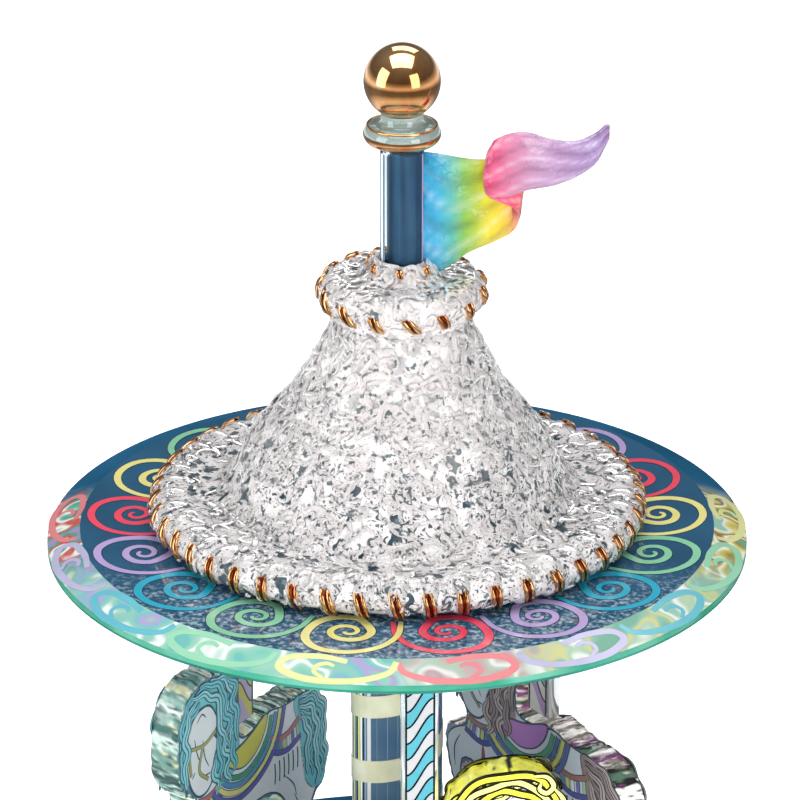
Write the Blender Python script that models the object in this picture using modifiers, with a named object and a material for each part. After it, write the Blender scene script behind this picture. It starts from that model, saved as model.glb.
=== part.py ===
"""A wind-up glass carousel figurine: a spun-glass canopy with a ball finial and a pennant, two bevelled
discs, a glass column, three flat glass horses on strip poles, and a lacquered tinplate drum that holds
the clockwork. Run it in Blender 4.5. The frame is +Z up, with the origin at the centre of the base."""

from math import acos, atan2, cos, pi, radians, sin, sqrt, tan

import bmesh
import bpy
import numpy as np

MM = 0.001
GAP = 0.3  # between pieces that touch on the real object

# Driving dimensions, in millimetres
DISC_R = 76.2  # a 6 inch bevelled glass disc
DISC_LAND = 1.9
ROOF_THICK = 4.6
FLOOR_THICK = 5.0
BEVEL_WIDTH = 7.2
HORSE_ZONE = 100.0  # from the floor disc to the roof disc
DISC_STEPS = 64

FOOT_HEIGHT = 4.0
FOOT_R = 6.0
FOOT_CIRCLE_R = 53.0
HOUSING_R = 64.0
HOUSING_WALL = 1.5
HOUSING_TOP = 41.2
SHEET = 1.2  # tinplate of the drum's top and of the bottom pan
PAN_RIM_Z = 4.3
PAN_FLOOR_Z = 16.0  # underside of the plate that closes the key's recess
RECESS_R = 46.0

FLOOR_UNDER = 45.5
FLOOR_TOP = FLOOR_UNDER + FLOOR_THICK
ROOF_UNDER = FLOOR_TOP + HORSE_ZONE
ROOF_TOP = ROOF_UNDER + ROOF_THICK

COLUMN_R, COLUMN_WALL = 10.0, 2.2
POLE_WIDTH, POLE_THICK = 7.9, 3.4
PANEL_THICK = 7.0
PANEL_INNER_R = 38.0
HORSE_ANGLES = {"front": -83.5, "right": 36.5, "left": 150.0}  # degrees round the axis
HORSE_DROP = 98.0  # from the roof disc's top face down to the hooves

# The clockwork. Axes are placed in plan, in millimetres.
BARREL_TEETH, BARREL_MODULE = 42, 0.8
SPINDLE_PINION_TEETH = 14
SPINDLE_WHEEL_TEETH, SECOND_MODULE = 40, 0.6
SECOND_PINION_TEETH = 10
SECOND_WHEEL_TEETH, FLY_MODULE = 36, 0.5
FLY_PINION_TEETH = 9
FLY_DIRECTION = 60.0  # degrees, from the second arbor to the fly's arbor
PLATE_THICK = 1.5
LOWER_PLATE_Z = PAN_FLOOR_Z + SHEET + GAP
UPPER_PLATE_Z = 33.3
PLATE_TOP = UPPER_PLATE_Z + PLATE_THICK
PLATE_BOX = (-42.0, 32.0, -20.0, 20.0)
PILLARS = ((-37.0, 15.5), (-37.0, -15.5), (27.0, -14.0))
ARBOR_R, SPINDLE_R, THIN_ARBOR_R = 2.2, 2.5, 1.0
RATCHET_TEETH, RATCHET_TIP_R, RATCHET_ROOT_R = 12, 9.0, 7.4
RATCHET_Z, RATCHET_THICK = PLATE_TOP + GAP, 1.4
SPINDLE_WHEEL_Z, SECOND_WHEEL_Z = 30.6, 24.0
VANE_Z, VANE_HEIGHT, VANE_REACH = 26.2, 5.0, 6.4
KEY_LOW, KEY_BOSS_LOW, KEY_BOSS_TOP = 4.6, 9.0, 15.6
STUD_R, STUD_TOP = 1.3, 39.2
ARBOR_TOP = 38.4
BUSH_BORE_R, BUSH_R, BUSH_FLANGE_R, BUSH_LOW = 2.9, 4.0, 7.0, 38.5
CLICK_PIVOT = (11.0, 13.5)  # from the winding arbor

BARREL_AXIS = (-BARREL_MODULE * (BARREL_TEETH + SPINDLE_PINION_TEETH) / 2, 0.0)
SECOND_AXIS = (SECOND_MODULE * (SPINDLE_WHEEL_TEETH + SECOND_PINION_TEETH) / 2, 0.0)
FLY_REACH = FLY_MODULE * (SECOND_WHEEL_TEETH + FLY_PINION_TEETH) / 2
FLY_AXIS = (
    SECOND_AXIS[0] + FLY_REACH * cos(radians(FLY_DIRECTION)),
    SECOND_AXIS[1] + FLY_REACH * sin(radians(FLY_DIRECTION)),
)

# One horse, along its heading and up from its hooves, with its pole at 0
HORSE_OUTLINE = (
    (5.2, 40), (5.2, 44), (5.6, 49.4), (7, 53), (10.6, 56.2), (15.6, 58.4), (21, 58.8), (26, 57.2),
    (29.6, 53.6), (31.2, 48), (31.6, 42), (30.6, 36.6), (27.8, 33), (25.2, 31), (25, 28.4), (28, 26),
    (31.4, 25), (32.8, 21), (31.4, 14), (28.6, 9.4), (25.4, 11), (24.8, 16), (21.2, 17), (18.7, 13),
    (18.9, 7), (20.3, 2.6), (17.2, 0), (12.9, 1), (11.8, 8), (9.6, 14.4), (4, 16.6), (-5, 17),
    (-11, 14.6), (-14.6, 9.4), (-16.9, 4), (-18.6, 0.3), (-23.1, 0.3), (-25.4, 4.6), (-28.4, 8.4),
    (-31.8, 10.6), (-33.6, 16), (-33, 22), (-33.2, 27.6), (-31.6, 32), (-28.8, 35.2), (-24.6, 37),
    (-19, 37.8), (-14, 38.2), (-10, 39.2), (-7, 39.8), (-5.4, 39.2), (-4.4, 38.1), (0, 38), (4.2, 38),
)
SEAT_HEIGHT, BELLY_HEIGHT = 38.6, 16.2

# The canopy's profile: height above the roof disc and outer radius
CONE_PROFILE = (
    (0.3, 41.2), (5, 39.4), (9, 36.6), (16, 34.0), (24, 29.1), (32, 22.6), (40, 18.2), (48.4, 13.6),
)
CONE_WALL = 3.0
TOP_RING_Z, TOP_RING_R, TOP_RING_TUBE = 53.2, 14.0, 4.4
BRIM_RING_R, BRIM_HALF_WIDTH, BRIM_HALF_HEIGHT = 48.0, 6.2, 4.0
ROD_R, ROD_TOP = 5.0, 85.6
COLLAR_R, COLLAR_HALF = 8.2, 2.6
BALL_R, BALL_Z, BALL_NECK_R = 8.15, 100.8, 4.6

# The pennant: (distance from the axis, height of the lower edge, height of the upper edge)
PENNANT = (
    (5.5, 55.6, 84.9), (8.5, 57.6, 84.4), (12, 60.4, 83.7), (16, 62.8, 83.5), (18.5, 64.2, 84.4),
    (21.5, 65.8, 87.8), (24, 68.2, 88.8), (26.5, 75.4, 89.0), (30, 76.4, 88.0), (34, 77.3, 87.3),
    (38, 79.4, 87.4), (41.4, 82.6, 89.0), (43.6, 86.4, 90.4), (44.4, 89.4, 90.6),
)
PENNANT_THICK, PENNANT_WAVE = 3.0, 3.2


def clear_scene():
    for obj in list(bpy.data.objects):
        bpy.data.objects.remove(obj)


def collection(name, hidden=False):
    made = bpy.data.collections.new(name)
    made.hide_render = hidden
    bpy.context.scene.collection.children.link(made)
    return made


def material(name, colour, roughness, metallic=0.0, transmission=0.0):
    made = bpy.data.materials.new(name)
    made.use_nodes = True
    shader = made.node_tree.nodes["Principled BSDF"]
    shader.inputs["Base Color"].default_value = (*colour, 1)
    shader.inputs["Roughness"].default_value = roughness
    shader.inputs["Metallic"].default_value = metallic
    shader.inputs["Transmission Weight"].default_value = transmission
    return made


def place(obj, mat, at=(0, 0, 0), parent=None):
    """Adds a new object to the part, at a place in millimetres."""
    PARTS.objects.link(obj)
    obj.location = [c * MM for c in at]
    obj.parent = parent
    obj.data.materials.append(mat)
    return obj


def smooth(obj, angle=35):
    obj.data.shade_smooth()
    obj.data.set_sharp_from_angle(angle=radians(angle))
    return obj


def mesh_object(name, bm):
    mesh = bpy.data.meshes.new(name)
    bm.to_mesh(mesh)
    bm.free()
    return bpy.data.objects.new(name, mesh)


def rod_mesh(name, radius, length, steps=20):
    """A cylinder that stands on its origin."""
    bm = bmesh.new()
    bmesh.ops.create_cone(
        bm, cap_ends=True, segments=steps, radius1=radius * MM, radius2=radius * MM, depth=length * MM
    )
    bmesh.ops.translate(bm, verts=bm.verts, vec=(0, 0, length * MM / 2))
    return mesh_object(name, bm)


def rod(name, radius, low, high, mat, axis=(0, 0), parent=None, steps=20):
    return smooth(place(rod_mesh(name, radius, high - low, steps), mat, (*axis, low), parent))


def turned(name, profile, mat, at=(0, 0, 0), parent=None, steps=32):
    """A solid of revolution. The profile is (radius, height), down the outer side first."""
    bm = bmesh.new()
    verts = [bm.verts.new((r * MM, 0, z * MM)) for r, z in profile]
    on_axis = profile[0][0] == 0 and profile[-1][0] == 0
    for a, b in zip(verts, verts[1:] if on_axis else verts[1:] + verts[:1]):
        bm.edges.new((a, b))
    obj = place(mesh_object(name, bm), mat, at, parent)
    screw = obj.modifiers.new("Turn", "SCREW")
    screw.steps = screw.render_steps = steps
    screw.use_merge_vertices = True
    screw.merge_threshold = 1e-6
    screw.use_smooth_shade = True
    return obj


def ring(name, radius, half_width, half_height, mat, at, parent, steps=48):
    """A torus with an elliptical section."""
    bpy.ops.mesh.primitive_torus_add(
        major_radius=radius * MM, minor_radius=half_width * MM, major_segments=steps, minor_segments=8
    )
    obj = bpy.context.object
    obj.name = name
    for owner in list(obj.users_collection):
        owner.objects.unlink(obj)
    for vert in obj.data.vertices:
        vert.co.z *= half_height / half_width
    return smooth(place(obj, mat, at, parent), 60)


def outline_curve(name, rings, thick, curved=False):
    """A flat solid between -thick/2 and +thick/2 of its own Z. Every ring after the first is a hole."""
    data = bpy.data.curves.new(name, "CURVE")
    data.dimensions = "2D"
    data.fill_mode = "BOTH"
    data.extrude = thick / 2 * MM
    for points in rings:
        spline = data.splines.new("BEZIER" if curved else "POLY")
        if curved:
            spline.bezier_points.add(len(points) - 1)
            for knot, (x, y) in zip(spline.bezier_points, points):
                knot.co = (x * MM, y * MM, 0)
                knot.handle_left_type = knot.handle_right_type = "AUTO"
            spline.resolution_u = 2
        else:
            spline.points.add(len(points) - 1)
            for knot, (x, y) in zip(spline.points, points):
                knot.co = (x * MM, y * MM, 0, 1)
        spline.use_cyclic_u = True
    return bpy.data.objects.new(name, data)


def circle(radius, steps=16, centre=(0, 0)):
    turns = [2 * pi * i / steps for i in range(steps)]
    return [(centre[0] + radius * cos(t), centre[1] + radius * sin(t)) for t in turns]


def flat_piece(name, rings, low, thick, mat, axis=(0, 0), parent=None, turn=0.0):
    obj = place(outline_curve(name, rings, thick), mat, (*axis, low + thick / 2), parent)
    obj.rotation_euler.z = turn
    return obj


def gear_outline(teeth, module, backlash=0.12):
    """An involute gear with a tooth centred on +X. The backlash is the share of the pitch left free."""
    pressure = radians(20)
    pitch_r = module * teeth / 2
    base_r = pitch_r * cos(pressure)
    tip_r, root_r = pitch_r + 0.85 * module, pitch_r - 1.15 * module
    half_at_pitch = pi / (2 * teeth) * (1 - backlash)
    involute = tan(pressure) - pressure

    def half_angle(radius):
        if radius <= base_r:
            return half_at_pitch + involute
        slope = acos(base_r / radius)
        return half_at_pitch + involute - (tan(slope) - slope)

    flank = [root_r, pitch_r, tip_r]
    points = []
    for tooth in range(teeth):
        middle = 2 * pi * tooth / teeth
        rising = [(r, middle - half_angle(r)) for r in flank]
        falling = [(r, middle + half_angle(r)) for r in reversed(flank)]
        points += [(r * cos(t), r * sin(t)) for r, t in rising + falling]
    return points


def gear(name, teeth, module, low, thick, bore, mat, axis, parent=None, turn=0.0):
    rings = [gear_outline(teeth, module), circle(bore)]
    return flat_piece(name, rings, low, thick, mat, axis, parent, turn)


def mesh_turn(driver_teeth, driver_turn, teeth, direction):
    """The turn that puts a gap of one gear over a tooth of the other, along a direction in plan."""
    phase = (direction - driver_turn) * driver_teeth / (2 * pi) % 1
    return direction + pi + (phase - 0.5) * 2 * pi / teeth


def to_mesh(obj):
    """Replaces a curve object by its mesh, with the caps welded."""
    bpy.context.view_layer.update()
    evaluated = obj.evaluated_get(bpy.context.evaluated_depsgraph_get())
    mesh = bpy.data.meshes.new_from_object(evaluated)
    bm = bmesh.new()
    bm.from_mesh(mesh)
    bmesh.ops.remove_doubles(bm, verts=bm.verts, dist=1e-6)
    bmesh.ops.recalc_face_normals(bm, faces=bm.faces)
    bm.to_mesh(mesh)
    bm.free()
    name, matrix, parent = obj.name, obj.matrix_world.copy(), obj.parent
    bpy.data.objects.remove(obj)
    made = bpy.data.objects.new(name, mesh)
    PARTS.objects.link(made)
    made.parent = parent
    made.matrix_world = matrix
    return made


def boolean(obj, cutter, operation="DIFFERENCE"):
    cutter.hide_render = True
    cutter.display_type = "WIRE"
    modifier = obj.modifiers.new(operation.title(), "BOOLEAN")
    modifier.operation = operation
    modifier.object = cutter


def cutter_rod(name, radius, low, high, axis):
    cutter = rod_mesh(name, radius, high - low, 16)
    cutter.location = [c * MM for c in (*axis, low)]
    CUTTERS.objects.link(cutter)
    return cutter


def rounded_box(low_x, high_x, low_y, high_y, radius, steps=4):
    points = []
    corners = ((high_x, high_y, 0), (low_x, high_y, 1), (low_x, low_y, 2), (high_x, low_y, 3))
    for x, y, quarter in corners:
        cx = x - radius if x == high_x else x + radius
        cy = y - radius if y == high_y else y + radius
        turns = [(quarter + i / steps) * pi / 2 for i in range(steps + 1)]
        points += [(cx + radius * cos(t), cy + radius * sin(t)) for t in turns]
    return points


def disc_profile(thick):
    """A disc with a straight land at its rim and a wide polished bevel above it."""
    flat_r = DISC_R - BEVEL_WIDTH
    return [(0, thick), (flat_r, thick), (DISC_R, DISC_LAND), (DISC_R, 0), (0, 0)]


# --- canopy ---


def make_canopy(spin):
    clear_glass = material("Spun glass", (0.93, 0.95, 0.96), 0.08, transmission=0.8)
    gold = material("Copper gold", (0.78, 0.43, 0.20), 0.12, metallic=1.0)
    blue_glass = material("Rod glass", (0.20, 0.36, 0.48), 0.05, transmission=0.6)
    printed = material("Printed disc", (0.16, 0.33, 0.44), 0.08, transmission=0.3)
    rainbow = material("Rainbow glass", (0.85, 0.55, 0.60), 0.10, transmission=0.3)

    turned("roof_disc", disc_profile(ROOF_THICK), printed, (0, 0, ROOF_UNDER), spin, DISC_STEPS)
    rod("canopy_pole", ROD_R, ROOF_TOP + GAP, ROOF_TOP + ROD_TOP, blue_glass, parent=spin, steps=28)
    turned("canopy_cone", cone_shell(), clear_glass, (0, 0, ROOF_TOP), spin, 36)
    ring("canopy_brim_ring", BRIM_RING_R, BRIM_HALF_WIDTH, BRIM_HALF_HEIGHT, clear_glass,
         (0, 0, ROOF_TOP + GAP + BRIM_HALF_HEIGHT), spin, 48)
    ring("canopy_top_ring", TOP_RING_R, TOP_RING_TUBE, TOP_RING_TUBE, clear_glass,
         (0, 0, ROOF_TOP + TOP_RING_Z), spin, 36)
    turned("finial_collar", collar_profile(), clear_glass, (0, 0, ROOF_TOP + ROD_TOP + GAP), spin, 28)
    turned("finial_ball", ball_profile(), gold, (0, 0, ROOF_TOP + BALL_Z), spin, 24)
    make_pennant(rainbow, spin)


def cone_shell():
    """The outer profile from the top down, then the inner one back up, square to the wall."""
    outer = np.array([(r, z) for z, r in reversed(CONE_PROFILE)])
    along = np.gradient(outer, axis=0)
    along /= np.linalg.norm(along, axis=1)[:, None]
    inner = outer + CONE_WALL * np.stack([along[:, 1], -along[:, 0]], axis=1)
    inner[:, 1] = np.clip(inner[:, 1], outer[:, 1].min(), outer[:, 1].max())
    return [tuple(p) for p in outer] + [tuple(p) for p in inner[::-1]]


def collar_profile():
    """A bead with a flat top and bottom."""
    steps = 6
    turns = [pi / 2 - pi * i / steps for i in range(steps + 1)]
    flat = COLLAR_R - COLLAR_HALF
    rim = [(flat + COLLAR_HALF * cos(t), COLLAR_HALF * (1 + sin(t))) for t in turns]
    return [(0, 2 * COLLAR_HALF)] + rim + [(0, 0)]


def ball_profile():
    """A ball on a short neck, about the ball's centre."""
    foot = ROD_TOP + 2 * GAP + 2 * COLLAR_HALF - BALL_Z
    neck_turn = acos(BALL_NECK_R / BALL_R)
    steps = 11
    turns = [pi / 2 - (pi / 2 + neck_turn) * i / steps for i in range(1, steps + 1)]
    return [(0, BALL_R)] + [(BALL_R * cos(t), BALL_R * sin(t)) for t in turns] + [
        (BALL_NECK_R + 0.5, foot), (0, foot)
    ]


def make_pennant(mat, spin):
    """A waved sheet of glass: a grid whose columns stand on the pennant's stations."""
    bm = bmesh.new()
    rows = 4
    grid = bmesh.ops.create_grid(bm, x_segments=len(PENNANT) - 1, y_segments=rows, size=1)
    for vert in grid["verts"]:
        station = round((vert.co.x + 1) / 2 * (len(PENNANT) - 1))
        share = (vert.co.y + 1) / 2
        x, low, high = PENNANT[station]
        vert.co = (x * MM, pennant_wave(x) * MM, (low + share * (high - low)) * MM)
    obj = smooth(place(mesh_object("pennant_flag", bm), mat, (0, 0, ROOF_TOP), spin), 60)
    solidify = obj.modifiers.new("Thickness", "SOLIDIFY")
    solidify.thickness = PENNANT_THICK * MM
    solidify.offset = 0


def pennant_wave(x):
    """How far the sheet stands out of the XZ plane, from nothing at the rod."""
    root = PENNANT[0][0]
    length = PENNANT[-1][0] - root
    return -PENNANT_WAVE * sin(2 * pi * 1.15 * (x - root) / length) * min(1, (x - root) / 8)


# --- between the discs ---


def make_ride(spin):
    floor = material("Floor glass", (0.30, 0.45, 0.52), 0.06, transmission=0.3)
    column = material("Column glass", (0.85, 0.86, 0.70), 0.08, transmission=0.5)
    turned("floor_disc", disc_profile(FLOOR_THICK), floor, (0, 0, FLOOR_UNDER), spin, DISC_STEPS)
    low, high = FLOOR_TOP + GAP, ROOF_UNDER - GAP
    inner = COLUMN_R - COLUMN_WALL
    turned("centre_column", [(inner, high), (COLUMN_R, high), (COLUMN_R, low), (inner, low)], column,
           parent=spin, steps=36)
    looks = {
        "front": ((0.90, 0.88, 0.35), (0.35, 0.75, 0.80)),
        "right": ((0.62, 0.55, 0.55), (0.60, 0.60, 0.62)),
        "left": ((0.35, 0.68, 0.72), (0.80, 0.80, 0.45)),
    }
    for side, (horse_colour, pole_colour) in looks.items():
        make_horse(side, horse_colour, pole_colour, spin)


def make_horse(side, horse_colour, pole_colour, spin):
    """One horse panel, which faces outwards, and the strips that carry it between the discs."""
    turn = radians(HORSE_ANGLES[side])
    middle = PANEL_INNER_R + PANEL_THICK / 2
    hooves = ROOF_TOP - HORSE_DROP
    out = (cos(turn) * middle, sin(turn) * middle)
    printed = material(f"Horse print {side}", horse_colour, 0.08, transmission=0.2)
    striped = material(f"Pole print {side}", pole_colour, 0.08, transmission=0.2)
    panel = place(outline_curve(f"horse_{side}", [HORSE_OUTLINE], PANEL_THICK, curved=True), printed,
                  (*out, hooves), spin)
    panel.rotation_euler = (pi / 2, 0, turn + pi / 2)
    strips = {
        f"pole_{side}_upper": (hooves + SEAT_HEIGHT + GAP, ROOF_UNDER - GAP),
        f"pole_{side}_lower": (FLOOR_TOP + GAP, hooves + BELLY_HEIGHT - GAP),
    }
    for name, (low, high) in strips.items():
        half = POLE_WIDTH / 2
        box = [(-half, 0), (half, 0), (half, high - low), (-half, high - low)]
        strip = place(outline_curve(name, [box], POLE_THICK), striped, (*out, low), spin)
        strip.rotation_euler = panel.rotation_euler


# --- base ---


def make_base():
    lacquer = material("Teal lacquered tinplate", (0.06, 0.24, 0.34), 0.25, metallic=0.2)
    rubber = material("Rubber", (0.05, 0.05, 0.05), 0.7)
    brass = material("Bush brass", (0.80, 0.62, 0.28), 0.3, metallic=1.0)
    inner = HOUSING_R - HOUSING_WALL
    under_top = HOUSING_TOP - SHEET
    lip = inner - 3
    housing = [
        (4.3, HOUSING_TOP), (58, HOUSING_TOP), (62.6, HOUSING_TOP - 2), (HOUSING_R, HOUSING_TOP - 6),
        (HOUSING_R, 10), (66.4, 8), (66.8, 5), (65.4, 3), (lip, 3), (lip, 4), (inner, 4),
        (inner, under_top - 4), (inner - 4, under_top), (4.3, under_top),
    ]
    turned("base_housing", housing, lacquer, steps=48)
    make_pan(lacquer)
    for number, turn in enumerate((90, 210, 330), start=1):
        at = (FOOT_CIRCLE_R * cos(radians(turn)), FOOT_CIRCLE_R * sin(radians(turn)), 0)
        foot = [(0, FOOT_HEIGHT), (FOOT_R, FOOT_HEIGHT), (FOOT_R, 0.8), (FOOT_R - 0.8, 0), (0, 0)]
        turned(f"foot_{number}", foot, rubber, at, steps=20)
    bush_top = HOUSING_TOP + GAP + 0.8
    flange = HOUSING_TOP + GAP
    bush = [
        (BUSH_BORE_R, bush_top), (BUSH_FLANGE_R, bush_top), (BUSH_FLANGE_R, flange), (BUSH_R, flange),
        (BUSH_R, BUSH_LOW), (BUSH_BORE_R, BUSH_LOW),
    ]
    turned("spindle_bush", bush, brass, steps=24)


def make_pan(mat):
    """The bottom pan: its rim sits in the drum's lip, and its dish makes the key's recess."""
    top, wall_r = PAN_FLOOR_Z + SHEET, RECESS_R + SHEET
    rim_r = HOUSING_R - HOUSING_WALL - GAP
    rim_top = PAN_RIM_Z + SHEET
    profile = [
        (0, top), (wall_r, top), (wall_r, rim_top), (rim_r, rim_top), (rim_r, PAN_RIM_Z),
        (RECESS_R, PAN_RIM_Z), (RECESS_R, PAN_FLOOR_Z), (0, PAN_FLOOR_Z),
    ]
    pan = turned("bottom_pan", profile, mat, steps=48)
    holes = [("arbor_hole", ARBOR_R + 0.6, BARREL_AXIS)]
    holes += [(f"screw_hole_{i}", 1.6, axis) for i, axis in enumerate(PILLARS, start=1)]
    for name, radius, axis in holes:
        boolean(pan, cutter_rod(name, radius, PAN_FLOOR_Z - 2, top + 2, axis))


# --- clockwork ---


def make_frame():
    brass = material("Plate brass", (0.72, 0.58, 0.28), 0.35, metallic=1.0)
    steel = material("Steel", (0.55, 0.56, 0.58), 0.3, metallic=1.0)
    bores = [
        circle(ARBOR_R + GAP, 16, BARREL_AXIS), circle(SPINDLE_R + GAP),
        circle(THIN_ARBOR_R + GAP, 12, SECOND_AXIS), circle(THIN_ARBOR_R + GAP, 12, FLY_AXIS),
    ]
    outline = rounded_box(*PLATE_BOX, 6)
    screw_holes = [circle(1.6, 12, axis) for axis in PILLARS]
    flat_piece("movement_lower_plate", [outline, *bores, *screw_holes], LOWER_PLATE_Z, PLATE_THICK, brass)
    click_hole = circle(STUD_R + GAP, 12, click_axis())
    flat_piece("movement_upper_plate", [outline, *bores, click_hole], UPPER_PLATE_Z, PLATE_THICK, brass)
    low, high = LOWER_PLATE_Z + PLATE_THICK + GAP, UPPER_PLATE_Z - GAP
    for number, axis in enumerate(PILLARS, start=1):
        rod(f"pillar_{number}", 2.4, low, high, brass, axis, steps=14)
        head = PAN_FLOOR_Z - GAP
        shank_r, head_r, head_low = 1.3, 2.8, head - 1.4
        screw = [
            (0, low - GAP), (shank_r, low - GAP), (shank_r, head), (head_r, head), (head_r, head_low),
            (0, head_low),
        ]
        turned(f"frame_screw_{number}", screw, steel, (*axis, 0), steps=12)


def make_spring_side(barrel, key):
    brass = material("Wheel brass", (0.82, 0.64, 0.30), 0.28, metallic=1.0)
    blued = material("Blued spring steel", (0.16, 0.20, 0.30), 0.3, metallic=1.0)
    steel = material("Arbor steel", (0.60, 0.61, 0.63), 0.25, metallic=1.0)
    wheel_z = LOWER_PLATE_Z + PLATE_THICK + 2 * GAP
    bore = ARBOR_R + GAP
    gear("great_wheel", BARREL_TEETH, BARREL_MODULE, wheel_z, 1.8, bore, brass, (0, 0), barrel)
    cup_z = wheel_z + 1.8 + GAP
    cup_top = cup_z + 6.8
    outer, inner = 15.0, 13.8
    cup = [
        (inner, cup_top), (outer, cup_top), (outer, cup_z), (bore, cup_z), (bore, cup_z + 1),
        (inner, cup_z + 1),
    ]
    turned("spring_barrel", cup, brass, parent=barrel, steps=36)
    cover_z = cup_top + GAP
    cover = [(bore, cover_z + 0.8), (outer, cover_z + 0.8), (outer, cover_z), (bore, cover_z)]
    turned("barrel_cover", cover, brass, parent=barrel, steps=36)
    flat_piece("mainspring", [spiral_band(3.4, 13.3, 5, 0.7)], cup_z + 1 + GAP, 5.2, blued, parent=barrel)
    rod("winding_arbor", ARBOR_R, KEY_BOSS_LOW + 0.7, ARBOR_TOP, steel, parent=key)
    saw = [ratchet_outline(), circle(bore)]
    flat_piece("ratchet_wheel", saw, RATCHET_Z, RATCHET_THICK, steel, parent=key)
    make_key(key, brass)


def spiral_band(inner, outer, turns, thick):
    """A flat spring seen from above: out along one side and back along the other."""
    steps = 12 * turns
    out, back = [], []
    for i in range(steps + 1):
        turn = 2 * pi * turns * i / steps
        radius = inner + (outer - inner) * i / steps
        out.append((radius * cos(turn), radius * sin(turn)))
        back.append(((radius - thick) * cos(turn), (radius - thick) * sin(turn)))
    return out + back[::-1]


def ratchet_outline():
    """Saw teeth: a steep face at each tooth's start, then a slope back to the root."""
    points = []
    for tooth in range(RATCHET_TEETH):
        start = 2 * pi * tooth / RATCHET_TEETH
        pitch = 2 * pi / RATCHET_TEETH
        for radius, turn in ((RATCHET_ROOT_R, start), (RATCHET_TIP_R, start), (8.2, start + pitch / 2)):
            points.append((radius * cos(turn), radius * sin(turn)))
    return points


def make_key(key, mat):
    """A flat two-eyed bow in a round boss, whose blind bore takes the arbor."""
    half_width, bow_top, eye_r, eye_x = 13, 12.4, 2.3, 8.2
    eyes = [circle(eye_r, 14, (side * eye_x, (bow_top - KEY_LOW) / 2)) for side in (-1, 1)]
    plate = rounded_box(-half_width, half_width, 0, bow_top - KEY_LOW, 3.8)
    bow = outline_curve("key_bow", [plate, *eyes], 2.6)
    CUTTERS.objects.link(bow)
    bow.rotation_euler.x = pi / 2
    bow.location.z = KEY_LOW * MM
    bow.parent = key
    bow = to_mesh(bow)
    PARTS.objects.unlink(bow)
    CUTTERS.objects.link(bow)
    boss = [
        (0, KEY_BOSS_TOP), (4.2, KEY_BOSS_TOP), (4.2, KEY_BOSS_LOW + 0.6), (3.6, KEY_BOSS_LOW),
        (0, KEY_BOSS_LOW),
    ]
    obj = turned("winding_key", boss, mat, parent=key, steps=24)
    boolean(obj, bow, "UNION")
    drill = cutter_rod("key_bore", ARBOR_R + GAP, KEY_BOSS_LOW + 0.4, KEY_BOSS_TOP + 1, (0, 0))
    drill.parent = key
    boolean(obj, drill)


def click_axis():
    return (BARREL_AXIS[0] + CLICK_PIVOT[0], BARREL_AXIS[1] + CLICK_PIVOT[1])


def make_click(pivot):
    """The click: a pawl whose nose rests in a tooth gap, its stud and the coil that presses it home."""
    steel = material("Click steel", (0.50, 0.51, 0.54), 0.3, metallic=1.0)
    px, py = CLICK_PIVOT
    nose = [(0.35, 7.75), (0.35, 9.4), (8.6, 15.4)]
    heel_turns = [radians(t) for t in (140, 100, 60, 20, -20, -60, -90)]
    heel = [(px + 2.6 * cos(t), py + 2.6 * sin(t)) for t in heel_turns]
    arm = nose + heel + [(8.8, 10.9)]
    outline = [(x - px, y - py) for x, y in arm]
    eye = circle(STUD_R + GAP, 12)
    flat_piece("click_pawl", [outline, eye], RATCHET_Z, RATCHET_THICK, steel, parent=pivot)
    rod("click_stud", STUD_R, UPPER_PLATE_Z + 0.2, STUD_TOP, steel, click_axis(), steps=12)
    turns, per_turn, wire, coil_r, pitch = 3, 10, 0.25, 2.0, 0.7
    low = RATCHET_Z + RATCHET_THICK + GAP + wire
    data = bpy.data.curves.new("click_spring", "CURVE")
    data.dimensions = "3D"
    data.bevel_depth = wire * MM
    data.bevel_resolution = 1
    data.use_fill_caps = True
    spline = data.splines.new("POLY")
    spline.points.add(turns * per_turn)
    for i, knot in enumerate(spline.points):
        turn = 2 * pi * i / per_turn
        knot.co = (coil_r * MM * cos(turn), coil_r * MM * sin(turn), pitch * MM * i / per_turn, 1)
    place(bpy.data.objects.new("click_spring", data), steel, (*click_axis(), low))


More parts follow.
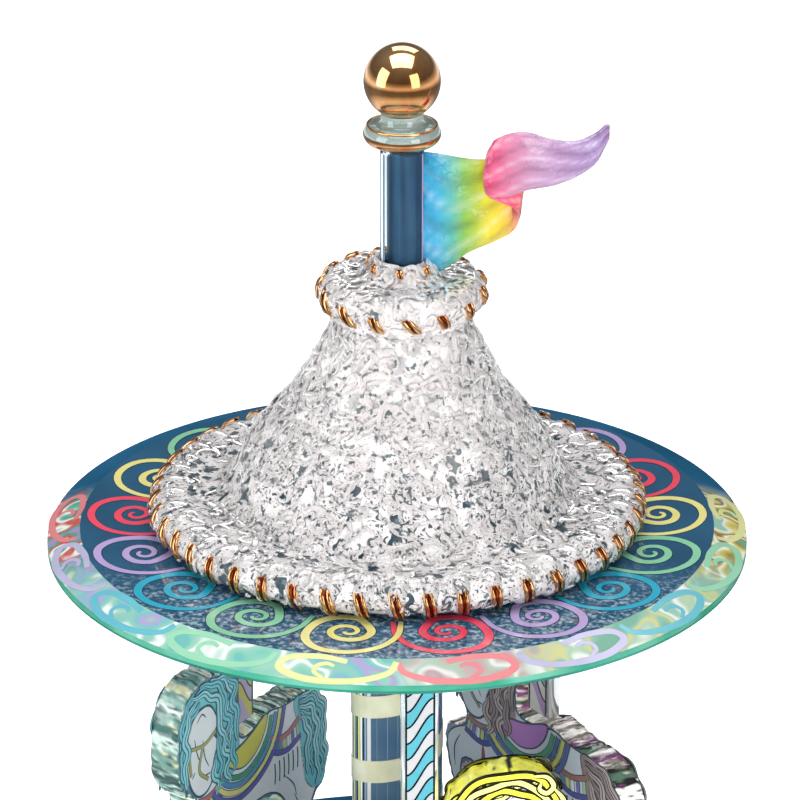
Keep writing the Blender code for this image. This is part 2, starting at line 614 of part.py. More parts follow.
def make_train(spin, second, fly):
    brass = material("Train brass", (0.84, 0.67, 0.33), 0.26, metallic=1.0)
    steel = material("Pinion steel", (0.58, 0.59, 0.61), 0.25, metallic=1.0)
    low = LOWER_PLATE_Z + 0.2
    base = LOWER_PLATE_Z + PLATE_THICK + 2 * GAP
    rod("output_spindle", SPINDLE_R, low, FLOOR_UNDER - 0.5, steel, parent=spin)
    spindle_turn = mesh_turn(BARREL_TEETH, 0.0, SPINDLE_PINION_TEETH, 0.0)
    gear("spindle_pinion", SPINDLE_PINION_TEETH, BARREL_MODULE, base - 0.1, 2.4, SPINDLE_R + GAP, steel,
         (0, 0), spin, spindle_turn)
    gear("spindle_wheel", SPINDLE_WHEEL_TEETH, SECOND_MODULE, SPINDLE_WHEEL_Z, 1.2, SPINDLE_R + GAP, brass,
         (0, 0), spin)
    bore = THIN_ARBOR_R + GAP
    rod("second_arbor", THIN_ARBOR_R, low, PLATE_TOP - 0.2, steel, parent=second, steps=12)
    second_turn = mesh_turn(SPINDLE_WHEEL_TEETH, 0.0, SECOND_PINION_TEETH, 0.0)
    gear("second_pinion", SECOND_PINION_TEETH, SECOND_MODULE, SPINDLE_WHEEL_Z - 0.5, 2.2, bore, steel,
         (0, 0), second, second_turn)
    gear("second_wheel", SECOND_WHEEL_TEETH, FLY_MODULE, SECOND_WHEEL_Z, 1.0, bore, brass, (0, 0), second)
    rod("fly_arbor", THIN_ARBOR_R, low, PLATE_TOP - 0.2, steel, parent=fly, steps=12)
    fly_turn = mesh_turn(SECOND_WHEEL_TEETH, 0.0, FLY_PINION_TEETH, radians(FLY_DIRECTION))
    gear("fly_pinion", FLY_PINION_TEETH, FLY_MODULE, SECOND_WHEEL_Z - 0.5, 2.0, bore, steel, (0, 0), fly,
         fly_turn)
    flat_piece("fly_vane", [vane_outline(), circle(bore, 12)], VANE_Z, VANE_HEIGHT, brass, parent=fly)


def vane_outline():
    """Two thin blades on a round hub."""
    hub, half, reach = 2.0, 0.45, VANE_REACH
    edge = sqrt(hub * hub - half * half)
    start = atan2(half, edge)
    right = [(reach, -half), (reach, half)]
    top = [(hub * cos(t), hub * sin(t)) for t in np.linspace(start, pi - start, 7)]
    left = [(-reach, half), (-reach, -half)]
    bottom = [(hub * cos(t), hub * sin(t)) for t in np.linspace(pi + start, 2 * pi - start, 7)]
    return right + top + left + bottom


def make_hub(spin):
    """The flange under the floor disc, which the spindle turns."""
    steel = material("Hub aluminium", (0.70, 0.71, 0.72), 0.35, metallic=1.0)
    low, step, top, bore = 42.6, 43.6, FLOOR_UNDER - GAP, SPINDLE_R + GAP
    profile = [(bore, top), (22, top), (22, step), (8, step), (8, low), (bore, low)]
    turned("turntable_hub", profile, steel, parent=spin, steps=36)


def pivot_empty(name, axis=(0, 0)):
    empty = bpy.data.objects.new(name, None)
    empty.location = (axis[0] * MM, axis[1] * MM, 0)
    PARTS.objects.link(empty)
    return empty


clear_scene()
PARTS = collection("glass_carousel")
CUTTERS = collection("cutters", hidden=True)
SPIN = pivot_empty("carousel_axis")
KEY = pivot_empty("key_axis", BARREL_AXIS)
make_canopy(SPIN)
make_ride(SPIN)
make_hub(SPIN)
make_base()
make_frame()
make_spring_side(pivot_empty("barrel_axis", BARREL_AXIS), KEY)
make_click(pivot_empty("click_pivot", click_axis()))
make_train(SPIN, pivot_empty("second_axis", SECOND_AXIS), pivot_empty("fly_axis", FLY_AXIS))
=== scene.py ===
"""The looks of the wind-up glass carousel: spun-glass lace, printed and bevelled glass, gold, and tinplate.
Lengths in this script are in millimetres until MM turns them into metres."""

from math import cos, pi, radians, sin, sqrt

import bpy
import numpy as np
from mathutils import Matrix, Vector


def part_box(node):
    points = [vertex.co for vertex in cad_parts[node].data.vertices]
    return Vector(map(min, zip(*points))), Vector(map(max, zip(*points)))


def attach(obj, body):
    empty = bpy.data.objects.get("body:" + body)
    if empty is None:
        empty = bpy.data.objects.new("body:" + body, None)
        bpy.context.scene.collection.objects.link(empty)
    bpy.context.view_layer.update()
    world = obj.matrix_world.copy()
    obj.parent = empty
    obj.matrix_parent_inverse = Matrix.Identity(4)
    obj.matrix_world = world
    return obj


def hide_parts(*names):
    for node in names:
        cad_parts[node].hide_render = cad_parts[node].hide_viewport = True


MM = 0.001
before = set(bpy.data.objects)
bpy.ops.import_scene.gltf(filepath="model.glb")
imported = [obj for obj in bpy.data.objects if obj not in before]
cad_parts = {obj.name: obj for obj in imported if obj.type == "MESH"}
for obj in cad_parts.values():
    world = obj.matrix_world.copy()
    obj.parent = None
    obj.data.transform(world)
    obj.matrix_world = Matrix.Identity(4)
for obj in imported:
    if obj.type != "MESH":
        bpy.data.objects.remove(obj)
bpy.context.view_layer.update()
RNG = np.random.default_rng(11)


def low_high(node):
    """A node's corners in millimetres."""
    low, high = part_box(node)
    return np.array(low) / MM, np.array(high) / MM


ROOF_LOW, ROOF_HIGH = low_high("roof_disc")
ROOF_UNDER, ROOF_TOP, DISC_R = ROOF_LOW[2], ROOF_HIGH[2], ROOF_HIGH[0]
FLOOR_LOW, FLOOR_HIGH = low_high("floor_disc")
FLOOR_TOP = FLOOR_HIGH[2]
BEVEL_WIDTH, LAND = 7.2, 1.9  # of a disc's rim: how wide its bevel is, and how high its ground edge
FLAT_R = DISC_R - BEVEL_WIDTH
BEVEL_MIDDLE = DISC_R - BEVEL_WIDTH / 2


def settle(piece, node=None, body="carousel"):
    """Gives a piece its body, and hides the CAD node it stands for, if there is one."""
    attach(piece, body)
    if node:
        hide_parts(node)
    return piece


# --- mesh building ---


def unit(v):
    return v / np.maximum(np.linalg.norm(v, axis=-1, keepdims=True), 1e-12)


def mesh_from(name, points, quads, caps=None, mats=(), smooth=True):
    """A mesh object from points (n, 3) in millimetres, quads (m, 4) and caps, an array (k, sides)."""
    mesh = bpy.data.meshes.new(name)
    groups = [np.asarray(g) for g in (quads, caps) if g is not None and len(g)]
    corners = np.concatenate([g.ravel() for g in groups])
    sizes = np.concatenate([np.full(len(g), g.shape[1]) for g in groups])
    mesh.vertices.add(len(points))
    mesh.vertices.foreach_set("co", (np.asarray(points, np.float64) * MM).ravel().astype(np.float32))
    mesh.loops.add(len(corners))
    mesh.loops.foreach_set("vertex_index", corners.astype(np.int32))
    mesh.polygons.add(len(sizes))
    mesh.polygons.foreach_set("loop_start", np.concatenate([[0], np.cumsum(sizes)[:-1]]).astype(np.int32))
    mesh.update(calc_edges=True)
    if smooth:
        mesh.polygons.foreach_set("use_smooth", np.ones(len(sizes), bool))
        if caps is not None:
            mesh.set_sharp_from_angle(angle=radians(50))
    for mat in mats:
        mesh.materials.append(mat)
    obj = bpy.data.objects.new(name, mesh)
    bpy.context.scene.collection.objects.link(obj)
    return obj


def tube_quads(count, rows, sides, closed=False):
    """Quads of count tubes, each rows x sides points, joined round each row and, if closed, end to end."""
    last = rows if closed else rows - 1
    row, side = np.meshgrid(np.arange(last), np.arange(sides), indexing="ij")
    nxt, turn = (row + 1) % rows, (side + 1) % sides
    one = np.stack(
        [row * sides + side, row * sides + turn, nxt * sides + turn, nxt * sides + side], -1
    ).reshape(-1, 4)
    return (one[None] + (np.arange(count) * rows * sides)[:, None, None]).reshape(-1, 4)


def tube_caps(count, rows, sides):
    first = np.arange(sides)[::-1]
    last = (rows - 1) * sides + np.arange(sides)
    one = np.stack([first, last])
    return (one[None] + (np.arange(count) * rows * sides)[:, None, None]).reshape(-1, sides)


def tubes(name, points, count, rows, sides, mats, closed=False, flip=False, smooth=True):
    """Tubes of rows x sides points each, capped unless they are closed end to end.

    flip turns the faces over.
    """
    turn = -1 if flip else 1
    quads = tube_quads(count, rows, sides, closed)[:, ::turn]
    caps = None if closed else tube_caps(count, rows, sides)[:, ::turn]
    return mesh_from(name, points.reshape(-1, 3), quads, caps, mats, smooth)


def section(sides):
    turns = 2 * pi * (np.arange(sides) + 0.5) / sides
    grow = sqrt(2) if sides == 4 else 1
    return np.stack([np.cos(turns), np.sin(turns)], -1) * grow


def sweep(name, paths, face, width, height, sides, mats, tints=None):
    """Tubes along paths (count, rows, 3). face (same shape) is the way each section's height points."""
    paths = np.asarray(paths, float)
    count, rows = paths.shape[:2]
    along = unit(np.gradient(paths, axis=1))
    across = unit(np.cross(along, np.broadcast_to(face, paths.shape)))
    up = np.cross(across, along)
    shape = section(sides)
    width, height = (np.broadcast_to(size, (count, rows))[..., None, None] for size in (width, height))
    points = (
        paths[:, :, None]
        + across[:, :, None] * shape[None, None, :, :1] * width
        + up[:, :, None] * shape[None, None, :, 1:] * height
    )
    obj = tubes(name, points, count, rows, sides, mats)
    if tints is not None:
        set_tint(obj, np.repeat(np.asarray(tints, float), rows * sides, axis=0))
    return obj


def set_tint(obj, colours):
    """Stores a colour for each point, which the enamel materials read."""
    layer = obj.data.attributes.new("Tint", "FLOAT_COLOR", "POINT")
    values = np.ones((len(colours), 4), np.float32)
    values[:, :3] = colours
    layer.data.foreach_set("color", values.ravel())


def set_finishes(obj, runs):
    """Gives runs of faces, each (first, end, number), the material of that number, and the rest number 0."""
    kinds = np.zeros(len(obj.data.polygons), np.int32)
    for first, end, number in runs:
        kinds[first:end] = number
    obj.data.polygons.foreach_set("material_index", kinds)


def lathe(name, profile, mats, steps, at=(0, 0), close=False, sharp=40):
    """A solid of revolution from (radius, height) points, down the outer side."""
    profile = np.asarray(profile, float)
    radius, height = profile[:, :1], profile[:, 1:]
    turns = 2 * pi * np.arange(steps) / steps
    around = (at[0] + radius * np.cos(turns), at[1] + radius * np.sin(turns), height + 0 * turns)
    obj = tubes(name, np.stack(around, -1), 1, len(profile), steps, mats, close, flip=True)
    obj.data.set_sharp_from_angle(angle=radians(sharp))
    return obj


def arc(centre, radius, turns):
    """(radius, height) points on a circle in a lathe's profile, at angles up from level."""
    return [(centre[0] + radius * cos(t), centre[1] + radius * sin(t)) for t in turns]


def smooth_path(points, rows, closed=False):
    """A Catmull-Rom curve through points, sampled evenly in its parameter."""
    points = np.asarray(points, float)
    if closed:
        padded = np.concatenate([points[-1:], points, points[:2]])
    else:
        padded = np.concatenate([2 * points[:1] - points[1:2], points, 2 * points[-1:] - points[-2:-1]])
    spans = len(padded) - 3
    where = np.linspace(0, spans, rows, endpoint=not closed)
    index = np.minimum(where.astype(int), spans - 1)
    t = (where - index)[:, None]
    a, b, c, d = (padded[index + i] for i in range(4))
    return 0.5 * (2 * b + (c - a) * t + (2 * a - 5 * b + 4 * c - d) * t**2 + (3 * b - a - 3 * c + d) * t**3)


def srgb(colour):
    """Linear red, green and blue of a colour in hex digits. A linear colour comes back as it is."""
    if not isinstance(colour, str):
        return colour
    values = np.array([int(colour[i : i + 2], 16) for i in (0, 2, 4)]) / 255
    return tuple(np.where(values <= 0.04045, values / 12.92, ((values + 0.055) / 1.055) ** 2.4))


# --- materials ---

WHITE, BLACK = (1.0, 1.0, 1.0), (0.0, 0.0, 0.0)


def fill_ramp(ramp, stops):
    """Sets a colour ramp's stops, each a place from 0 to 1 and a colour."""
    while len(ramp.elements) < len(stops):
        ramp.elements.new(0.5)
    for element, (place, colour) in zip(ramp.elements, stops):
        element.position = place
        element.color = (*srgb(colour), 1)


class Nodes:
    """Short calls for one material's node tree."""

    def __init__(self, name, **values):
        self.mat = bpy.data.materials.new(name)
        self.mat.use_nodes = True
        self.tree = self.mat.node_tree
        self.shader = self.tree.nodes["Principled BSDF"]
        self.set(**values)

    def add(self, kind, **settings):
        """A node. A setting that starts with in_ goes to the socket of that name."""
        node = self.tree.nodes.new(kind)
        for key, value in settings.items():
            if key.startswith("in_"):
                node.inputs[key[3:].replace("_", " ")].default_value = value
            else:
                setattr(node, key, value)
        return node

    def link(self, output, target):
        self.tree.links.new(output, target)

    def set(self, **values):
        for key, value in values.items():
            self.shader.inputs[key.replace("_", " ")].default_value = value

    def paint(self, colour):
        self.link(colour, self.shader.inputs["Base Color"])

    def coords(self, stretch=None):
        """Points in the object's own frame, with its axes scaled by stretch if that is given."""
        where = self.add("ShaderNodeTexCoord").outputs["Object"]
        if stretch is None:
            return where
        drawn = self.add("ShaderNodeMapping", in_Scale=stretch)
        self.link(where, drawn.inputs["Vector"])
        return drawn.outputs["Vector"]

    def noise(self, scale, detail=3.0, distortion=0.0, stretch=None, output="Fac"):
        node = self.add("ShaderNodeTexNoise", in_Scale=scale, in_Detail=detail, in_Distortion=distortion)
        self.link(self.coords(stretch), node.inputs["Vector"])
        return node.outputs[output]

    def ramp(self, source, stops, interpolation="LINEAR"):
        node = self.add("ShaderNodeValToRGB")
        node.color_ramp.interpolation = interpolation
        fill_ramp(node.color_ramp, stops)
        self.link(source, node.inputs["Fac"])
        return node.outputs["Color"]

    def channel(self, colour):
        """The red channel of a colour, as a number."""
        split = self.add("ShaderNodeSeparateColor")
        self.link(colour, split.inputs["Color"])
        return split.outputs[0]

    def bump(self, source, strength, distance=0.0002):
        node = self.add("ShaderNodeBump", in_Strength=strength, in_Distance=distance)
        self.link(source, node.inputs["Height"])
        self.link(node.outputs["Normal"], self.shader.inputs["Normal"])

    def vary_roughness(self, source, low, high):
        node = self.add("ShaderNodeMapRange", in_To_Min=low, in_To_Max=high)
        self.link(source, node.inputs["Value"])
        self.link(node.outputs["Result"], self.shader.inputs["Roughness"])

    def product(self, first, second):
        """Two colours multiplied."""
        mix = self.add("ShaderNodeMix", data_type="RGBA", blend_type="MULTIPLY", in_Factor=1.0)
        self.link(first, mix.inputs["A"])
        self.link(second, mix.inputs["B"])
        return mix.outputs["Result"]

    def tinted(self, dark, scale=180.0, stretch=None):
        """The piece's Tint, darker in patches by up to the share dark, as the base colour."""
        tint = self.add("ShaderNodeAttribute", attribute_name="Tint")
        shade = self.ramp(self.noise(scale, stretch=stretch), [(0.3, (1 - dark,) * 3), (0.7, WHITE)])
        colour = self.product(tint.outputs["Color"], shade)
        self.paint(colour)
        return colour


def patchy(name, light, dark, scale, **values):
    """A material whose colour drifts between two tones."""
    n = Nodes(name, **values)
    n.paint(n.ramp(n.noise(scale), [(0.35, dark), (0.65, light)]))
    return n


def share_of(n, near, far, axis="Y", most=1.0):
    """0 at near, rising to most at far, along one axis of the object."""
    split = n.add("ShaderNodeSeparateXYZ")
    n.link(n.coords(), split.inputs["Vector"])
    spread = n.add("ShaderNodeMapRange", interpolation_type="SMOOTHSTEP",
                   in_From_Min=near * MM, in_From_Max=far * MM, in_To_Max=most)
    n.link(split.outputs[axis], spread.inputs["Value"])
    return spread.outputs["Result"]


def mixed(n, share, first, second):
    """Blends two colours, each a node's output or in hex digits, by a share from 0 to 1."""
    mix = n.add("ShaderNodeMix", data_type="RGBA")
    n.link(share, mix.inputs["Factor"])
    for socket, colour in (("A", first), ("B", second)):
        if isinstance(colour, str):
            mix.inputs[socket].default_value = (*srgb(colour), 1)
        else:
            n.link(colour, mix.inputs[socket])
    return mix.outputs["Result"]


def paler_above(n, colour, pale):
    """The canopy's painted dark marks, fainter towards its top."""
    return mixed(n, share_of(n, ROOF_TOP + 14, ROOF_TOP + 44, "Z", 0.6), colour, pale)


def flecked(n, colour, dark):
    """Small dark gaps scattered between the strands: painted shade of the canopy's inside, seen between them.
    """
    gaps = n.ramp(n.noise(620.0, 2.0), [(0.61, BLACK), (0.66, WHITE)])
    return mixed(n, n.channel(gaps), colour, dark)


def strand_material():
    """White glass, with the grey outlines of finer strands, painted shade of their dark edges."""
    n = Nodes("Spun glass", Roughness=0.2, IOR=1.4, Transmission_Weight=0.5, Coat_Weight=0.15,
              Coat_Roughness=0.08)
    pale, grey, dark = "dfdad9", "9a9a9b", "565f64"
    # painted shade: grey and dark outlines where the strands' edges and the gaps between them fall dark
    stops = [
        (0.33, dark), (0.37, pale), (0.425, pale), (0.447, grey), (0.469, pale), (0.525, pale), (0.545, grey),
        (0.565, pale), (0.63, pale), (0.66, dark),
    ]
    swirls = n.ramp(n.noise(480.0, 1.0, 1.6), stops)
    n.paint(flecked(n, paler_above(n, swirls, pale), "676f73"))
    n.bump(n.noise(420.0), 0.2)
    return n.mat


def depth_material():
    """White glass, with painted shade: fine grey outlines of the strands inside it, and dark hollows between
    them in the shade of the canopy's inside.
    """
    n = Nodes("Spun glass depth", Roughness=0.3, Specular_IOR_Level=0.3)
    white, grey, dark = "d0cbca", "7f8386", "3c464c"
    stops = [
        (0.30, dark), (0.35, white), (0.415, white), (0.43, grey), (0.445, white), (0.495, white),
        (0.512, grey),
        (0.53, white), (0.58, white), (0.592, grey), (0.604, white), (0.66, dark),
    ]
    swirl = n.noise(400.0, 1.2, 2.0)
    pull = n.add("ShaderNodeVectorMath", operation="MULTIPLY_ADD")
    pull.inputs[1].default_value = (0.0032, 0.0032, 0.0032)
    n.link(n.noise(500.0, 1.0, output="Color"), pull.inputs[0])
    n.link(n.coords((1.0, 1.0, 0.56)), pull.inputs[2])
    pits = n.add("ShaderNodeTexVoronoi", in_Scale=250.0)
    n.link(pull.outputs["Vector"], pits.inputs["Vector"])
    inside = n.ramp(pits.outputs["Distance"], [(0.30, WHITE), (0.38, BLACK)])
    chosen = n.ramp(n.channel(pits.outputs["Color"]), [(0.0, WHITE), (0.56, BLACK)], "CONSTANT")
    hollows = n.channel(n.product(inside, chosen))
    # Painted shade: the dark of the canopy's inside, as seen through its holes.
    hole_shade = n.ramp(n.noise(90.0), [(0.36, "535d61"), (0.5, "36434a"), (0.62, "153340")])
    colour = mixed(n, hollows, n.ramp(swirl, stops), hole_shade)
    n.paint(flecked(n, paler_above(n, colour, white), "5a6468"))
    n.bump(swirl, 0.5, 0.0006)
    return n.mat


def gold_material():
    n = patchy("Copper gold", "f8c084", "d08a4c", 150.0, Metallic=1.0, Coat_Weight=0.5, Coat_Roughness=0.02)
    n.vary_roughness(n.noise(300.0), 0.03, 0.12)
    n.bump(n.noise(500.0), 0.04)
    return n.mat


def drifts(n, scale, tones, dim=0.76):
    """Soft patches of colour that run into each other."""
    reach = 0.36
    stops = [
        (0.5 - reach / 2 + reach * i / (len(tones) - 1), tuple(dim * part for part in srgb(tone)))
        for i, tone in enumerate(tones)
    ]
    return n.ramp(n.noise(scale, 1.0), stops, "EASE")


def field_material():
    """A disc's flat: plain blue at the back, and mottled towards the front with a painted reflection of the
    lace and of the parts seen through the glass.
    """
    n = Nodes("Disc field", Roughness=0.04, IOR=1.45, Specular_IOR_Level=0.35)
    plain = n.ramp(n.noise(40.0), [(0.35, "1b4560"), (0.65, "235170")])
    # painted reflection: the lace and what shows through the glass, mottled
    mottle = n.ramp(n.noise(950.0, 4.0), [(0.38, "1b4360"), (0.50, "38596f"), (0.58, "6e8494"),
    (0.68, "98a6ae")])
    n.paint(mixed(n, share_of(n, -46, -20), mottle, plain))
    return n.mat


def bevel_material():
    """A disc's bevel in painted refraction: patches of colour that differ from zone to zone round it, and
    blue at the back.
    """
    n = Nodes("Disc bevel", Roughness=0.1, Specular_IOR_Level=0.0)
    # Painted refraction: the colours the bevel bends in from the scrolls and the room, zone by zone.
    front_left = drifts(n, 95.0, ("6fb4b0", "86c0ac", "96c4b4", "e2e8e4", "88bcae", "7ab4bc",
                                 "a89cc4", "8cc0b0"))
    front_middle = drifts(n, 95.0, ("9cb8a8", "b4989c", "bca4a4", "a8bcac", "dcdcd6", "b49aa0", "a9c0b0"))
    front_right = drifts(n, 95.0, ("7cac98", "8cb8a4", "c8c890", "a8c4ac", "e2e6de", "90baac",
                                  "bcc48c", "86b4a8"))
    left = drifts(n, 120.0, ("2f7480", "3f8f7c", "9a8ab4", "4f927e", "c0504c", "dfe6e2", "5ea68e", "357c86"))
    right = drifts(n, 120.0, ("6a9c88", "8c8648", "b8ae5c", "dfe2cc", "86704a", "cabf6c", "d8dcd4", "8cb8a8"))
    blue = n.ramp(n.noise(30.0), [(0.35, "1d4a66"), (0.65, "27597a")])
    front = mixed(n, share_of(n, -4, 8, "X"), front_left, front_middle)
    front = mixed(n, share_of(n, 22, 34, "X"), front, front_right)
    sides = mixed(n, share_of(n, -10, 10, "X"), left, right)
    near = mixed(n, share_of(n, -36, -12), front, sides)
    n.paint(mixed(n, share_of(n, 8, 22), near, blue))
    return n.mat


def core_material():
    """Blue glass with faint drawn lines down its length."""
    n = Nodes("Rod core", Roughness=0.3, Specular_IOR_Level=0.2)
    lines = n.noise(700.0, 2.0, stretch=(1, 1, 0.02))
    n.paint(n.ramp(lines, [(0.35, "28455e"), (0.6, "385a76")]))
    return n.mat


def pennant_material():
    n = Nodes("Pennant glass", Roughness=0.05, Coat_Weight=1.0, Transmission_Weight=0.1, IOR=1.5)
    n.tinted(0.16, 420.0, (0.16, 1, 1))
    n.bump(n.noise(300.0), 1.0, 0.0014)
    return n.mat


def enamel_material():
    n = Nodes("Enamel print", Roughness=0.2, Coat_Weight=0.3, Coat_Roughness=0.05)
    n.tinted(0.08)
    return n.mat


def glowing_rim_material():
    """The rim of a horse's glass, with a painted glow: it gives off light in its own tints, which brightens
    it where it lies in shade.
    """
    # Painted glow: the rim's tints used as emission.
    n = Nodes("Horse glass rim", Roughness=0.06, Coat_Weight=0.5, Emission_Strength=0.55)
    n.link(n.tinted(0.32, 700.0), n.shader.inputs["Emission Color"])
    n.bump(n.noise(420.0), 0.5, 0.0005)
    return n.mat


def lacquer_material():
    n = patchy("Teal lacquer", "1f6275", "164e62", 30.0, Roughness=0.22, Coat_Weight=1.0, Coat_Roughness=0.04)
    n.bump(n.noise(260.0), 0.05)
    return n.mat


def metal(name, light, dark, low, high):
    """A turned or brushed metal, with a fine grain and patches of wear, between two roughnesses."""
    n = patchy(name, light, dark, 90.0, Metallic=1.0)
    n.vary_roughness(n.noise(220.0), low, high)
    n.bump(n.noise(900.0, 5.0), 0.12, 0.0001)
    return n.mat


def glass(name, light, dark, scale, **values):
    """Glass, or another smooth stuff, whose colour drifts between two tones."""
    return patchy(name, light, dark, scale, **values).mat


LACE = strand_material()
LACE_DEPTH = depth_material()
CLEAR = glass("Clear glass", "e6f2ee", "b4d4cc", 180.0, Roughness=0.04, IOR=1.4, Transmission_Weight=0.75,
              Coat_Weight=1.0, Coat_Roughness=0.02)
ROD_GLASS = glass("Rod glass", "d3dfe5", "b4c5ce", 120.0, Roughness=0.03, IOR=1.18, Transmission_Weight=1.0)
ROD_CORE = core_material()
PENNANT_GLASS = pennant_material()
COLUMN_GLASS = glass("Column glass", "55728c", "456482", 70.0, Roughness=0.08, IOR=1.45,
                     Transmission_Weight=0.3, Specular_IOR_Level=0.4)
CREAM_GLASS = glass("Cream band", "c6c8b0", "b8ba9c", 200.0, Roughness=0.15, Coat_Weight=0.5)
STRIP_GLASS = glass("Strip glass", "dfe8ea", "c4d4d8", 80.0, Roughness=0.05, Transmission_Weight=0.7)
HORSE_GLASS = glass("Horse glass", "86a0b6", "6b89a4", 60.0, Roughness=0.05, IOR=1.45,
                    Transmission_Weight=0.3, Specular_IOR_Level=0.25)
GLOWING_RIM_GLASS = glowing_rim_material()
FIELD_GLASS = field_material()
BEVEL_GLASS = bevel_material()
LAND_GLASS = glass("Disc land", "5c9a86", "257f67", 60.0, Roughness=0.08, Specular_IOR_Level=0.25)
EDGE_GLASS = glass("Disc edge", "2f7c6c", "1c5e52", 45.0, Roughness=0.08, Specular_IOR_Level=0.4)
ENAMEL = enamel_material()
LACQUER = lacquer_material()
RUBBER = glass("Rubber", "2c2c2e", "1c1c1e", 300.0, Roughness=0.75)
GOLD = gold_material()
GOLD_SHADE = metal("Copper shade", "8a3a1c", "5c200e", 0.12, 0.25)
GOLD_PAINT = metal("Gold paint", "d8a860", "b98442", 0.25, 0.4)
BRASS = metal("Brass", "d9b168", "b98c46", 0.2, 0.38)
STEEL = metal("Steel", "a8acb0", "888c92", 0.18, 0.34)
BLUED = metal("Blued steel", "3a4868", "26314c", 0.22, 0.36)
ALUMINIUM = metal("Aluminium", "c4c8cc", "a4a8ac", 0.3, 0.45)


# --- camera, lights and floor ---


def make_view():
    """The viewpoint: 1 m from the roof disc's centre, 24.4 degrees above it."""
    distance, lift, focal_px, width_px = 1000.0, radians(24.4), 4585.0, 800.0
    at = Vector((0.0, -distance * cos(lift), ROOF_TOP + distance * sin(lift))) * MM
    aim = Vector((0.65, 0.0, ROOF_TOP + 28.2)) * MM
    data = bpy.data.cameras.new("View")
    data.sensor_width = 36.0
    data.lens = 36.0 * focal_px / width_px
    data.clip_start = 0.01
    camera = bpy.data.objects.new("View", data)
    camera.location = at
    camera.rotation_euler = (aim - at).to_track_quat("-Z", "Y").to_euler()
    bpy.context.scene.collection.objects.link(camera)
    bpy.context.scene.camera = camera


def softbox(name, at, aim, size, power, mirrored=True):
    """A rectangular light. One that isn't mirrored fills the shade and leaves the gold and glass alone."""
    data = bpy.data.lights.new(name, "AREA")
    data.shape = "RECTANGLE"
    data.size, data.size_y = size
    data.energy = power
    lamp = bpy.data.objects.new(name, data)
    lamp.location = at
    lamp.rotation_euler = (Vector(aim) - Vector(at)).to_track_quat("-Z", "Y").to_euler()
    lamp.visible_glossy = mirrored
    bpy.context.scene.collection.objects.link(lamp)


# The room: the sine of the height above the horizon, and how bright it is there
ROOM = (
    (-1.0, 0.5), (-0.72, 1.15), (-0.5, 0.25), (-0.3, 0.2), (-0.14, 1.3), (0.02, 0.5), (0.16, 0.14),
    (0.6, 0.2),
    (1.0, 0.3),
)


def make_world():
    """A dim room with a paler band round the horizon."""
    world = bpy.data.worlds.new("Studio")
    world.use_nodes = True
    tree = world.node_tree
    where = tree.nodes.new("ShaderNodeTexCoord")
    split = tree.nodes.new("ShaderNodeSeparateXYZ")
    tree.links.new(where.outputs["Generated"], split.inputs["Vector"])
    share = tree.nodes.new("ShaderNodeMapRange")
    share.inputs["From Min"].default_value = -1.0
    tree.links.new(split.outputs["Z"], share.inputs["Value"])
    bands = tree.nodes.new("ShaderNodeValToRGB")
    stops = [((height + 1) / 2, (light * 0.95, light * 0.98, light)) for height, light in ROOM]
    fill_ramp(bands.color_ramp, stops)
    tree.links.new(share.outputs["Result"], bands.inputs["Fac"])
    tree.links.new(bands.outputs["Color"], tree.nodes["Background"].inputs["Color"])
    bpy.context.scene.world = world


def make_studio():
    middle = (0, 0, 0.17)
    softbox("Top light", (0.0, -0.12, 1.2), (0, 0, 0.1), (1.05, 0.85), 10.5)
    softbox("Left light", (-0.93, -0.42, 0.52), middle, (0.62, 0.9), 5.5)
    softbox("Right light", (0.68, -0.80, 0.50), middle, (0.5, 0.75), 3.8)
    softbox("Back light", (0.1, 0.85, 1.15), middle, (0.9, 0.5), 4)
    softbox("Front fill", (-0.1, -1.3, 0.30), (0, 0, 0.12), (1.3, 0.5), 16, mirrored=False)
    make_world()
    paper = patchy("Floor paper", (0.95,) * 3, (0.93,) * 3, 3.0, Roughness=0.9)
    paper.set(Emission_Color=(1.0, 1.0, 1.0, 1.0), Emission_Strength=0.6)
    half = 4000.0
    corners = [(-half, -half, 0), (half, -half, 0), (half, half, 0), (-half, half, 0)]
    floor = mesh_from("floor", corners, [(0, 1, 2, 3)], mats=[paper.mat], smooth=False)
    floor.visible_glossy = False  # the gold mirrors a dim room, and not a white one
    bpy.context.scene.view_settings.view_transform = "Standard"


# --- the canopy's lace ---

# The canopy in section, from the brim's foot over the edge and up the cone: radius and height above the disc
MERIDIAN = (
    (51.6, 1.2), (53.4, 3.4), (52.9, 6.2), (50.2, 8.0), (46.4, 8.3), (42.8, 7.6), (39.8, 7.8), (37.4, 9.6),
    (35.6, 12.6), (34.1, 16.0), (31.8, 20.0), (29.0, 24.0), (25.6, 28.0), (22.6, 32.0), (20.2, 36.0),
    (18.2, 40.0), (15.9, 44.4), (14.0, 48.6),
)
BRIM_END = 22.0  # how far along the section the brim ends and the cone begins
# The crown, from the top ring's outer side over its crest and in to the rod
CROWN_LINE = (
    (14.6, 47.6), (16.6, 50.4), (17.5, 53.8), (16.0, 56.8), (13.2, 57.5), (10.0, 57.2), (7.6, 58.3),
    (6.0, 60.2),
    (5.3, 61.2),
)
LEAN = 1.1  # how far the top of the canopy stands to one side, as hand-made glass does


